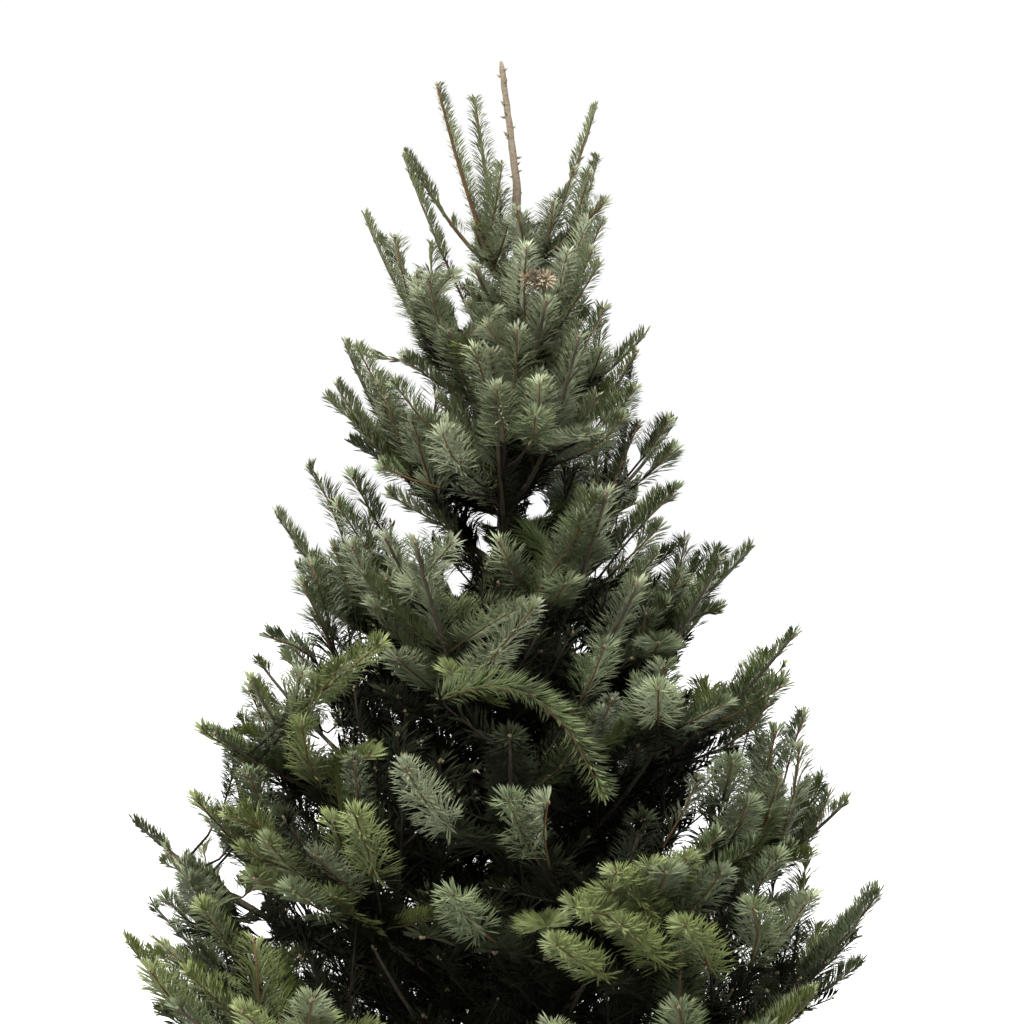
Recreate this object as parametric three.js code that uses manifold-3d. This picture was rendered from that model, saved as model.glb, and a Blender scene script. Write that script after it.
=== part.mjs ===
// A cut fir tree of about 1.8 m, standing on a plain wooden cross. Millimetres, +Z up.
// The origin is the centre of the cross's underside, on the floor. The front of the tree faces -Y.
// The trunk runs whole from its flat butt to the bare leader. Boughs leave it in eight whorls. Each
// carries one mass of foliage: a stem that ends in needles, and sprays of needles fused to it.

import * as THREE from "three";
import { mergeVertices } from "three/addons/utils/BufferGeometryUtils.js";
import Module from "manifold-3d";

const wasm = await Module();
wasm.setup();

// Gaps between neighbouring solids
const SEAT_GAP = 0.3;
const SPRAY_GAP = 0.8;

// Stand: two beams lapped into each other, and four braces that hold the trunk
const BEAM_LENGTH = 520;
const BEAM_WIDTH = 62;
const BEAM_HEIGHT = 45;
const BRACE_WIDTH = 40;
const BRACE_FOOT_INNER = 130;
const BRACE_FOOT_OUTER = 172;
const BRACE_HEAD_LOW = 150; // where the brace's underside would meet the trunk's middle line
const BRACE_HEAD_HIGH = 205;

// Trunk: [height, radius], and where its middle line lies at some heights as [height, x, y]
const BUTT = BEAM_HEIGHT + SEAT_GAP;
const TREE_TOP = 1850;
const TRUNK_RADII = [
  [BUTT, 43],
  [140, 37],
  [620, 28],
  [1120, 17],
  [1564, 7.5],
  [1610, 5.2],
  [1835, 3.4],
  [TREE_TOP, 2],
];
const TRUNK_LINE = [
  [BUTT, 0, 0],
  [420, 0, 0],
  [900, 5, -5],
  [1290, -3, 3],
  [1564, 10, 0],
  [1700, 8, -2],
  [TREE_TOP, -11, 4],
];
const TRUNK_SIDES = 10;

// Whorls, from the top down. height is where the boughs leave the trunk. sag sets how far a bough
// hangs under the straight line to its tip, as a share of its rise: 0.5 is straight. lift turns the
// sprays upwards. bare is the share of the bough without sprays, tail the share where its own
// needles begin, and pitch the distance between its sprays. limb is true where the bare part is a
// bough of its own. Each bough is [azimuth in degrees, reach from the trunk, height of its tip]:
// azimuth 0 is to the right, 90 behind, 180 to the left and 270 to the front.
const WHORLS = [
  {
    name: "a", height: 1564, sag: 0.26, lift: 1.0, bare: 0.1, tail: 0.46, pitch: 15, limb: false,
    boughs: [[222, 118, 1801], [120, 92, 1818], [174, 132, 1739], [16, 112, 1797], [318, 152, 1656]],
  },
  {
    name: "b", height: 1405, sag: 0.2, lift: 0.95, bare: 0.12, tail: 0.64, pitch: 18, limb: false,
    boughs: [[183, 181, 1654], [2, 168, 1507], [285, 165, 1530], [92, 176, 1560]],
  },
  {
    name: "c", height: 1235, sag: 0.15, lift: 0.9, bare: 0.14, tail: 0.68, pitch: 18, limb: false,
    boughs: [[178, 206, 1495], [6, 208, 1399], [265, 200, 1425], [96, 215, 1425]],
  },
  {
    name: "d", height: 1065, sag: 0.1, lift: 0.85, bare: 0.16, tail: 0.72, pitch: 20, limb: false,
    boughs: [[186, 290, 1282], [358, 300, 1240], [295, 262, 1302], [237, 262, 1250], [82, 290, 1280]],
  },
  {
    name: "e", height: 890, sag: 0.08, lift: 0.8, bare: 0.2, tail: 0.74, pitch: 21, limb: false,
    boughs: [[158, 354, 1092], [212, 400, 1024], [270, 375, 1035], [332, 376, 1138], [66, 372, 1085]],
  },
  {
    name: "f", height: 705, sag: 0.06, lift: 0.75, bare: 0.3, tail: 0.76, pitch: 21, limb: true,
    boughs: [[180, 468, 897], [236, 438, 946], [290, 440, 900], [344, 418, 935], [80, 450, 930]],
  },
  {
    name: "g", height: 525, sag: 0, lift: 0.65, bare: 0.34, tail: 0.78, pitch: 22, limb: true,
    boughs: [[8, 470, 804], [84, 520, 760], [156, 525, 760], [228, 530, 745], [300, 530, 735]],
  },
  {
    name: "h", height: 350, sag: -0.3, lift: 0.55, bare: 0.36, tail: 0.78, pitch: 22, limb: true,
    boughs: [[190, 585, 520], [262, 575, 500], [330, 590, 515], [45, 575, 530], [118, 575, 530]],
  },
];
const BOUGH_STAGGER = 11; // boughs of a whorl leave the trunk this far above each other,
const STAGGER_MIDDLE = 2; // counted from the third one

// Limbs: the radius that a bough of one metre gains from its tip to its root, and how fast that grows
// with a bough's length
const LIMB_TAPER = 17;
const LIMB_GROWTH = 1.5;
const LIMB_TIP_RADIUS = 1.6;
const BOUGH_SIDES = 6;
const BOUGH_STEPS = 3;
const STEM_STEPS = 3;

// Teeth: a spray is a three-sided twig whose left and right sides are drawn out into teeth by turns,
// and each tooth stands for a needled side shoot. Its reach grows with the bough: the first number,
// and the second for each metre of bough. The next three are shares of that reach.
const TOOTH_REACH = [16, 66];
const TOOTH_PITCH = 0.66;
const TOOTH_LEAN = 0.7; // how far a tooth points forward
const TOOTH_SWEEP = 0.28; // how far it turns up
const TOOTH_FEWEST = 4;
const TOOTH_FIRST = 0.5; // the first teeth's share of the full reach, which they gain
const TOOTH_FULL_AT = 0.25; // by this share of the spray,
const TOOTH_SHORTEN_AT = 0.6; // keep to this one,
const TOOTH_LAST = 0.4; // and lose again down to this share of the reach

// Sprays: pairs give a value near the bough's root and near its tip, or the range that chance has
const SPRAY_CORE = 4.2;
const SPRAY_CORE_TIP = 0.45; // a spray's core tapers to this share
const ROOT_CORE = 2; // the end of a spray that is sunk in its stem
const SPRAY_SHARE = [0.58, 0.32]; // a spray's length as a share of its bough's
const SPRAY_SIZES = [66, 235]; // and its least and most
const SPRAY_CHANCE = [0.85, 1.15];
const SPREAD = [62, 42]; // degrees between the bough and the spray
const SPREAD_CHANCE = 16;
const LEVEL = [1, 0.1]; // how a spray leaves a bough: to the side and up
const RAISED = [0.35, 0.9]; // and every third one
const LIFT_CHANCE = [0.7, 1.2];
const BEND_AT = 0.42; // the share of a spray before it turns upwards
const SPRAY_ROLL = 0.7; // how far a spray may be turned on its own line, in radians
const STEM_ROLL = 0.5; // and a bough's own needles
const FIRST_SPRAY = 0.03; // share of the bough between its bare part and its first spray
const FEWEST_SPRAYS = 2;
const TRIES = [1, 0.72, 0.52]; // a spray that finds no room is tried again at these shares
const SECTOR = 50; // a mass keeps within this angle either side of its bough, in degrees

const WORD = 2 ** 32; // numbers in a 32-bit word

const METRE = 1000;
const UP = new THREE.Vector3(0, 0, 1);

// A number between two, by share
const mix = (low, high, share) => low + (high - low) * share;

// The numbers from one to another in equal steps
const stepsBetween = (from, to, steps) =>
  Array.from({ length: steps + 1 }, (_, i) => mix(from, to, i / steps));

// The value at a height in a table of [height, value, ...]
function read(table, height, column = 1) {
  const upper = Math.max(1, table.findIndex((row) => row[0] >= height));
  const [below, above] = [table[upper - 1], table[upper]];
  const share = THREE.MathUtils.clamp((height - below[0]) / (above[0] - below[0]), 0, 1);
  return mix(below[column], above[column], share);
}

// Repeatable chance: the same seed always gives the same numbers from 0 to 1
function dice(seed) {
  let state = (seed * 2654435761) >>> 0;
  return () => {
    state = (Math.imul(state, 1664525) + 1013904223) >>> 0;
    return state / WORD;
  };
}

// A closed tube whose rings stand at the given stations. place gives a ring's middle and its two
// cross directions, and size how far a corner stands out, forward and up, by ring and corner.
function tube(sides, stations, place, size) {
  const steps = stations.length - 1;
  const made = new THREE.CylinderGeometry(1, 1, 1, sides, steps, false, Math.PI / 2 - Math.PI / sides);
  const at = made.getAttribute("position");
  for (let i = 0; i < at.count; i++) {
    const [x, z] = [at.getX(i), at.getZ(i)];
    const ring = Math.round((at.getY(i) + 0.5) * steps);
    const { middle, up, side, along } = place(stations[ring]);
    const isMiddle = Math.hypot(x, z) < 0.5;
    const [out, forward, rise] = isMiddle ? [0, 0, 0] : size(ring, z);
    const point = middle.clone()
      .addScaledVector(up, x * out + rise)
      .addScaledVector(side, z * out)
      .addScaledVector(along, forward);
    at.setXYZ(i, point.x, point.y, point.z);
  }
  return made;
}

function solidOf(geometry) {
  const bare = new THREE.BufferGeometry().setAttribute("position", geometry.getAttribute("position"));
  if (geometry.index) bare.setIndex(geometry.index);
  const merged = mergeVertices(bare, 1e-3);
  return new wasm.Manifold(
    new wasm.Mesh({
      numProp: 3,
      vertProperties: merged.getAttribute("position").array,
      triVerts: new Uint32Array(merged.index.array),
    }),
  );
}

function geometryOf(solid) {
  const { vertProperties, triVerts } = solid.getMesh();
  return new THREE.BufferGeometry()
    .setAttribute("position", new THREE.BufferAttribute(vertProperties, 3))
    .setIndex(new THREE.BufferAttribute(triVerts, 1));
}

const largestOf = (solid) => solid.decompose().sort((a, b) => b.volume() - a.volume())[0];

// The middle and cross directions at a place on a curve, rolled about the curve
function frameOn(curve, roll = 0) {
  return (t) => {
    const along = curve.getTangent(t);
    const side = UP.clone().cross(along).normalize().applyAxisAngle(along, roll);
    return { middle: curve.getPoint(t), along, side, up: along.clone().cross(side) };
  };
}

// A bare round limb, thicker towards its root
function limb(curve, from, to, radiusAt) {
  const stations = stepsBetween(from, to, BOUGH_STEPS);
  const size = (ring) => [radiusAt(stations[ring]), 0, 0];
  return solidOf(tube(BOUGH_SIDES, stations, frameOn(curve), size));
}

// How long a tooth is at a share of its spray, as a share of the full reach
function toothShare(share) {
  const gained = Math.min(1, share / TOOTH_FULL_AT);
  const lost = Math.max(0, (share - TOOTH_SHORTEN_AT) / (1 - TOOTH_SHORTEN_AT));
  return mix(TOOTH_FIRST, 1, gained) * mix(1, TOOTH_LAST, lost);
}

// A twig of three corners, one to the left, one to the right and one below. From needlesFrom on, its
// left and right corners are drawn out and forward by turns, less so towards the tip.
function needled(curve, from, needlesFrom, radiusAt, reach, roll) {
  const length = curve.getLength() * (1 - needlesFrom);
  const teeth = Math.max(TOOTH_FEWEST, Math.round(length / (reach * TOOTH_PITCH)));
  const bare = needlesFrom > from ? stepsBetween(from, needlesFrom, STEM_STEPS).slice(0, -1) : [];
  const stations = [...bare, ...stepsBetween(needlesFrom, 1, teeth)];
  const size = (ring, z) => {
    const tooth = ring - bare.length;
    const core = radiusAt(stations[ring]);
    const drawn = tooth > 0 && tooth < teeth && Math.abs(z) > 0.5 && z > 0 === (tooth % 2 === 1);
    if (!drawn) return [core, 0, 0];
    const full = reach * toothShare(tooth / teeth);
    return [full, full * TOOTH_LEAN, full * TOOTH_SWEEP];
  };
  return solidOf(tube(3, stations, frameOn(curve, roll), size));
}

// The trunk, and a slightly thicker one that cuts its neighbours clear
const trunkPoint = (height) =>
  new THREE.Vector3(read(TRUNK_LINE, height), read(TRUNK_LINE, height, 2), height);

function trunk(extra = 0) {
  const stations = [...TRUNK_RADII, ...TRUNK_LINE.slice(1, -1)].map(([height]) => height);
  const heights = [...new Set(stations)].sort((a, b) => a - b);
  const place = (height) => ({
    middle: trunkPoint(height),
    up: new THREE.Vector3(0, 1, 0),
    side: new THREE.Vector3(1, 0, 0),
    along: UP,
  });
  const size = (ring) => [read(TRUNK_RADII, heights[ring]) + extra, 0, 0];
  return solidOf(tube(TRUNK_SIDES, heights, place, size));
}

// A bough's middle line, from the middle of the trunk to its tip
function boughCurve(whorl, [azimuth, reach, tip], place) {
  const root = trunkPoint(whorl.height + BOUGH_STAGGER * (place - STAGGER_MIDDLE));
  const turn = THREE.MathUtils.degToRad(azimuth);
  const end = new THREE.Vector3(reach * Math.cos(turn), reach * Math.sin(turn), tip);
  const bend = root.clone().lerp(end, 0.5);
  bend.z = mix(root.z, end.z, whorl.sag);
  return new THREE.QuadraticBezierCurve3(root, bend, end);
}

// The twigs that leave a bough by turns to the left and right, long ones first. Each starts slanting
// forward and turns up. Every third one rises from the bough's upper side instead.
function twigsOn(whorl, curve, seed) {
  const chance = dice(seed);
  const length = curve.getLength();
  const fitting = Math.round((length * (whorl.tail - whorl.bare)) / whorl.pitch);
  const count = Math.max(FEWEST_SPRAYS, fitting);
  return Array.from({ length: count }, (_, i) => {
    const share = (i + 0.5) / count;
    const t = mix(whorl.bare + FIRST_SPRAY, whorl.tail, share);
    const { middle: root, along, side, up } = frameOn(curve)(t);
    const hand = i % 2 ? 1 : -1;
    const [sideways, upwards] = i % 3 === 2 ? RAISED : LEVEL;
    const spread = THREE.MathUtils.degToRad(mix(...SPREAD, share) + SPREAD_CHANCE * (chance() - 0.5));
    const grown = length * mix(...SPRAY_SHARE, share) * mix(...SPRAY_CHANCE, chance());
    const size = THREE.MathUtils.clamp(grown, ...SPRAY_SIZES);
    const out = along.clone().multiplyScalar(Math.cos(spread))
      .addScaledVector(side, hand * Math.sin(spread) * sideways)
      .addScaledVector(up, Math.sin(spread) * upwards)
      .normalize();
    const lift = whorl.lift * mix(...LIFT_CHANCE, chance());
    const turned = out.clone().addScaledVector(UP, lift).normalize();
    return { root, out, turned, size, roll: SPRAY_ROLL * (2 * chance() - 1) };
  });
}

function twigCurve({ root, out, turned, size }, share) {
  const bend = root.clone().addScaledVector(out, size * share * BEND_AT);
  const end = bend.clone().addScaledVector(turned, size * share * (1 - BEND_AT));
  return new THREE.QuadraticBezierCurve3(root, bend, end);
}

// True if a twig's end stays beside its own bough
function keepsToSector(curve, azimuth) {
  const end = curve.getPoint(1);
  const turn = THREE.MathUtils.radToDeg(Math.atan2(end.y, end.x)) - azimuth;
  return Math.abs(THREE.MathUtils.euclideanModulo(turn + 180, 360) - 180) < SECTOR;
}

const areApart = (a, b) =>
  [0, 1, 2].some((k) => a.min[k] > b.max[k] + SPRAY_GAP || b.min[k] > a.max[k] + SPRAY_GAP);

function isClear(solid, others) {
  const box = solid.boundingBox();
  return others.every(
    (other) => areApart(box, other.box) || solid.minGap(other.solid, 2) >= SPRAY_GAP,
  );
}

// Materials
const bark = new THREE.MeshStandardMaterial({ color: 0x6a5f52, roughness: 0.9 });
const needles = new THREE.MeshStandardMaterial({ color: 0x55623f, roughness: 0.6 });
const timber = new THREE.MeshStandardMaterial({ color: 0xcbb08a, roughness: 0.75 });

const tree = new THREE.Group();
function addPiece(name, solid, material) {
  const mesh = new THREE.Mesh(geometryOf(solid), material);
  mesh.name = name;
  tree.add(mesh);
}

// A board cut to an outline of [distance from the middle, height] and laid along X, then turned
function board(outline, width, turn) {
  const shape = new THREE.Shape(outline.map(([x, z]) => new THREE.Vector2(x, z)));
  const made = new THREE.ExtrudeGeometry(shape, { depth: width, bevelEnabled: false });
  return solidOf(made.translate(0, 0, -width / 2).rotateX(Math.PI / 2).rotateZ(turn));
}

// A beam of the cross, with a notch in its top or its underside where the other one passes
function beam(notchOnTop, turn) {
  const half = BEAM_LENGTH / 2;
  const notch = BEAM_WIDTH / 2 + SEAT_GAP;
  const lap = (BEAM_HEIGHT + (notchOnTop ? -SEAT_GAP : SEAT_GAP)) / 2;
  const [cut, whole] = notchOnTop ? [BEAM_HEIGHT, 0] : [0, BEAM_HEIGHT];
  const outline = [
    [-half, whole], [-half, cut], [-notch, cut], [-notch, lap],
    [notch, lap], [notch, cut], [half, cut], [half, whole],
  ];
  return board(outline, BEAM_WIDTH, turn);
}

// A brace that stands on a beam and leans against the trunk, hollowed to its round
function brace(turn, clearTrunk) {
  const foot = BEAM_HEIGHT + SEAT_GAP;
  const outline = [
    [BRACE_FOOT_INNER, foot], [BRACE_FOOT_OUTER, foot], [0, BRACE_HEAD_HIGH], [0, BRACE_HEAD_LOW],
  ];
  return largestOf(board(outline, BRACE_WIDTH, turn).subtract(clearTrunk));
}

const wholeTrunk = trunk();
const clearTrunk = trunk(SEAT_GAP);
addPiece("stand_beam_x", beam(true, 0), timber);
addPiece("stand_beam_y", beam(false, Math.PI / 2), timber);
for (let i = 0; i < 4; i++) {
  addPiece(`stand_brace_${i + 1}`, brace((i * Math.PI) / 2, clearTrunk), timber);
}
addPiece("trunk", wholeTrunk, bark);

// Limbs first, so that no spray is placed through one
const placed = [];
function keep(solid, owner) {
  placed.push({ solid, owner, box: solid.boundingBox() });
}
keep(wholeTrunk, "trunk");
const masses = WHORLS.flatMap((whorl) =>
  whorl.boughs.map((bough, i) => {
    const number = `${whorl.name}${i + 1}`;
    const curve = boughCurve(whorl, bough, i);
    const length = curve.getLength();
    const radiusAt = (t) => LIMB_TIP_RADIUS + LIMB_TAPER * (length / METRE) ** LIMB_GROWTH * (1 - t);
    if (whorl.limb) {
      const bare = limb(curve, 0, whorl.bare, radiusAt).subtract(clearTrunk);
      addPiece(`bough_${number}`, bare, bark);
      keep(bare, number);
    }
    const reach = TOOTH_REACH[0] + (TOOTH_REACH[1] * length) / METRE;
    const from = whorl.limb ? whorl.bare + SEAT_GAP / length : 0;
    const stem = needled(curve, from, whorl.tail, radiusAt, reach, STEM_ROLL).subtract(clearTrunk);
    keep(stem, number);
    return { number, whorl, bough, curve, reach, stem };
  }),
);

// Sprays, each skipped where it would leave its mass's space or touch a neighbour
masses.forEach(({ number, whorl, bough, curve, reach, stem }, i) => {
  const others = placed.filter((other) => other.owner !== number);
  const sprays = [];
  for (const twig of twigsOn(whorl, curve, i + 1)) {
    for (const share of TRIES) {
      const line = twigCurve(twig, share);
      if (!keepsToSector(line, bough[0])) continue;
      const coreAt = (t) => (t > 0 ? SPRAY_CORE * mix(1, SPRAY_CORE_TIP, t) : ROOT_CORE);
      const solid = needled(line, 0, 0, coreAt, reach, twig.roll);
      if (!isClear(solid, others) || !isClear(solid, sprays)) continue;
      keep(solid, number);
      sprays.push(placed.at(-1));
      break;
    }
  }
  const joined = wasm.Manifold.union([stem, ...sprays.map((spray) => spray.solid)]);
  addPiece(`foliage_${number}`, largestOf(joined), needles);
});

export default tree;
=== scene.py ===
"""A cut fir on its wooden cross: bark, boughs, twigs, needles, buds, stand, nails and stage, in metres."""

import functools
import itertools
import math
from typing import NamedTuple

import bmesh
import bpy
import numpy as np
from bpy.props import FloatProperty, FloatVectorProperty, IntProperty, PointerProperty
from mathutils import Matrix, Vector, noise


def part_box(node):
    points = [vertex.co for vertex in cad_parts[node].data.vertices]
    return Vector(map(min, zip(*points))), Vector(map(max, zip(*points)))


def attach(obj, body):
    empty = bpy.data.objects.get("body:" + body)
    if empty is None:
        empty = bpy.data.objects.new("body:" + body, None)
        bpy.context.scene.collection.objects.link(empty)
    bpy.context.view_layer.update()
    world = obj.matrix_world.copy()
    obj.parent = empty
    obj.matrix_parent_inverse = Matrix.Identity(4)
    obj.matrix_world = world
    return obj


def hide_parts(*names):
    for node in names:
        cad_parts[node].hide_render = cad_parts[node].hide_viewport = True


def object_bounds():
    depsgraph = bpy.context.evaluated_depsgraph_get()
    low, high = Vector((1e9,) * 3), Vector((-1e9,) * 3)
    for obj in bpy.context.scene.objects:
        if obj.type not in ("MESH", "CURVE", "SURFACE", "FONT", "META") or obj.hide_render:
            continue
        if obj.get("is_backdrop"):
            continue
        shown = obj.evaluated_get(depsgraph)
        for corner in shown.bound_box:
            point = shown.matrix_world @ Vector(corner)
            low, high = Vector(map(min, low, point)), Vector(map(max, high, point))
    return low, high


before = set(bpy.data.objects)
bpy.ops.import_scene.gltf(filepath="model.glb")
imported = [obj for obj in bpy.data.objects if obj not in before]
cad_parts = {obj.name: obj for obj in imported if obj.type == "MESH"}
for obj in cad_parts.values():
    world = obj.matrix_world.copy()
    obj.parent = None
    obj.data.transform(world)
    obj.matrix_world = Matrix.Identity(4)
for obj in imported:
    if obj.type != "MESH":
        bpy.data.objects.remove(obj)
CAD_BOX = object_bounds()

bl_info = {
    "name": "Cut Fir Tree",
    "version": (1, 0, 0),
    "blender": (4, 5, 0),
    "location": "3D View > Sidebar > Fir",
    "description": "Grows a cut fir tree with its needles and stands it on a wooden cross",
    "category": "Add Mesh",
}

# The growing rule, as the solids follow it. Trunk: height, radius, and height, x, y of its middle.
TREE_TOP = 1.85
TRUNK_RADII = (
    (0.0453, 0.043),
    (0.14, 0.037),
    (0.62, 0.028),
    (1.12, 0.017),
    (1.564, 0.0075),
    (1.61, 0.0052),
    (1.835, 0.0034),
    (TREE_TOP, 0.002),
)
TRUNK_LINE = (
    (0.0453, 0.0, 0.0),
    (0.42, 0.0, 0.0),
    (0.9, 0.005, -0.005),
    (1.29, -0.003, 0.003),
    (1.564, 0.01, 0.0),
    (1.7, 0.008, -0.002),
    (TREE_TOP, -0.011, 0.004),
)


class Whorl(NamedTuple):
    """Boughs that leave the trunk at one height. Each is azimuth in degrees, reach, height of tip.

    Sag sets the height of a bough's bend between those of its root and its tip, and lift turns its
    twigs up. They grow from bare to tail, as shares of its length, with pitch from one to the next.
    """

    name: str
    height: float
    sag: float
    lift: float
    bare: float
    tail: float
    pitch: float
    boughs: tuple


WHORLS = (
    Whorl("a", 1.564, 0.26, 1.0, 0.1, 0.46, 0.015, (
        (222, 0.118, 1.801), (120, 0.092, 1.818), (174, 0.132, 1.739), (16, 0.112, 1.797),
        (318, 0.152, 1.656),
    )),
    Whorl("b", 1.405, 0.2, 0.95, 0.12, 0.64, 0.018, (
        (183, 0.181, 1.654), (2, 0.168, 1.507), (285, 0.165, 1.53), (92, 0.176, 1.56),
    )),
    Whorl("c", 1.235, 0.15, 0.9, 0.14, 0.68, 0.018, (
        (178, 0.206, 1.495), (6, 0.208, 1.399), (265, 0.2, 1.425), (96, 0.215, 1.425),
    )),
    Whorl("d", 1.065, 0.1, 0.85, 0.16, 0.72, 0.02, (
        (186, 0.29, 1.282), (358, 0.3, 1.24), (295, 0.262, 1.302), (237, 0.262, 1.25),
        (82, 0.29, 1.28),
    )),
    Whorl("e", 0.89, 0.08, 0.8, 0.2, 0.74, 0.021, (
        (158, 0.354, 1.092), (212, 0.4, 1.024), (270, 0.375, 1.035), (332, 0.376, 1.138),
        (66, 0.372, 1.085),
    )),
    Whorl("f", 0.705, 0.06, 0.75, 0.3, 0.76, 0.021, (
        (180, 0.468, 0.897), (236, 0.438, 0.946), (290, 0.44, 0.9), (344, 0.418, 0.935),
        (80, 0.45, 0.93),
    )),
    Whorl("g", 0.525, 0.0, 0.65, 0.34, 0.78, 0.022, (
        (8, 0.47, 0.804), (84, 0.52, 0.76), (156, 0.525, 0.76), (228, 0.53, 0.745),
        (300, 0.53, 0.735),
    )),
    Whorl("h", 0.35, -0.3, 0.55, 0.36, 0.78, 0.022, (
        (190, 0.585, 0.52), (262, 0.575, 0.5), (330, 0.59, 0.515), (45, 0.575, 0.53),
        (118, 0.575, 0.53),
    )),
)
BOUGH_STAGGER = 0.011
STAGGER_MIDDLE = 2
LIMB_TAPER = 0.017
LIMB_GROWTH = 1.5
LIMB_TIP_RADIUS = 0.0016
SPRAY_SHARE = (0.58, 0.32)
SPRAY_SIZES = (0.066, 0.235)
SPRAY_CHANCE = (0.85, 1.15)
SPREAD = (62, 42)
SPREAD_CHANCE = 16
LEVEL = (1, 0.1)
RAISED = (0.35, 0.9)
LIFT_CHANCE = (0.7, 1.2)
BEND_AT = 0.42
SPRAY_ROLL = 0.7
STEM_ROLL = 0.5
FIRST_SPRAY = 0.03
FEWEST_SPRAYS = 2
TRIES = (1, 0.72, 0.52)
SECTOR = 50
WORD = 2 ** 32

# Small boughs between the whorls, dealt out round the trunk
INNER_COUNT = 8
INNER_TURN = 137.5
INNER_HEIGHTS = (0.25, 0.8)
INNER_REACH = (0.5, 0.85)
INNER_RISE = (0.55, 1.0)
INNER_LEAST = 0.06
INNER_SHAPE = {"name": "inner", "sag": 0.1, "bare": 0.16, "tail": 0.6, "pitch": 0.026}

# Finer growth. A year's growth ends in a pair of side shoots, counted back from a twig's tip.
YEAR_CHANCE = (0.8, 1.1)
SIDE_SHARE = 0.95
SIDE_MOST = 0.13
SIDE_SPREAD = (40, 56)
SIDE_LIFT = (-0.3, 0.6)
SIDE_LEAST = 0.055
SIDE_SKIPPED = 0.3
SLIM_ABOVE = 1.5
# Below this height the inner and older growth gets the darker colours that paint shade; above it older
# needles keep their shoot's colour
SHADE_PAINTED_BELOW = 1.45
TWIG_RADII = (0.0019, 0.001)
SIDE_RADII = (0.0013, 0.0009)
OLD_SHARE = 0.12
OLD_FROM = 0.05
OLD_DENSITY = 0.4
# The near-black painted-shade needles: their share of the usual density and their width
DEEP_DENSITY = 0.24
DEEP_WIDTH = 1.4
LIMB_BARE = 0.04
LIMB_DENSITY = 2.4
LIMB_FULLNESS = 0.6
STALK_DENSITY = 2.2
STALK_FULLNESS = 0.4
HOLLOW_DENSITY = 4
LOWEST = 0.2
LOWEST_AT = 0.6
FULL_RISE = (2, 0.6)

# Colours, by where a shoot grows: the shares of two of them by height, fewer at the right
TINT_AT = 0.85
TINT_KEPT = 0.8
FRESH_SHARES = ((0.6, 0.5), (0.95, 0.42), (1.2, 0.14), (1.5, 0.04))
SILVER_SHARES = ((0.6, 0.08), (0.95, 0.13), (1.2, 0.42), (1.45, 0.88))
SAGE_SHARE = 0.4
DULL_FROM = 0.15
DULL_SHARES = (0.5, 0.6)

# Where the chance of each kind of growth starts
BOUGH_SEED = 1000
BOUGH_END_SEED = 500
TWIG_SEED = 2000
INNER_SEED = 5
MARK_SEED = 9000
STALK_SEED = 9100
ARCH_SEED = 9200
DRY_SEED = 9300
CLOSED_SEED = 9400
DRY_WAYS_SEED = 31
BUD_SEED = 77

# The crown's radius by height, and the share of it that its dark heart takes, where the needles get a
# near-black colour as painted shade
CROWN_RADII = ((0.45, 0.6), (1.0, 0.4), (1.5, 0.2), (1.85, 0.08))
HEART = ((0.6, 0.77), (1.0, 0.74), (1.2, 0.55), (1.35, 0.38), (1.5, 0.05))

# Where the picture was taken from. Places below are as seen from there, in the plane of the trunk.
EYE = (0.0025, -2.75, 1.226)
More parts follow.
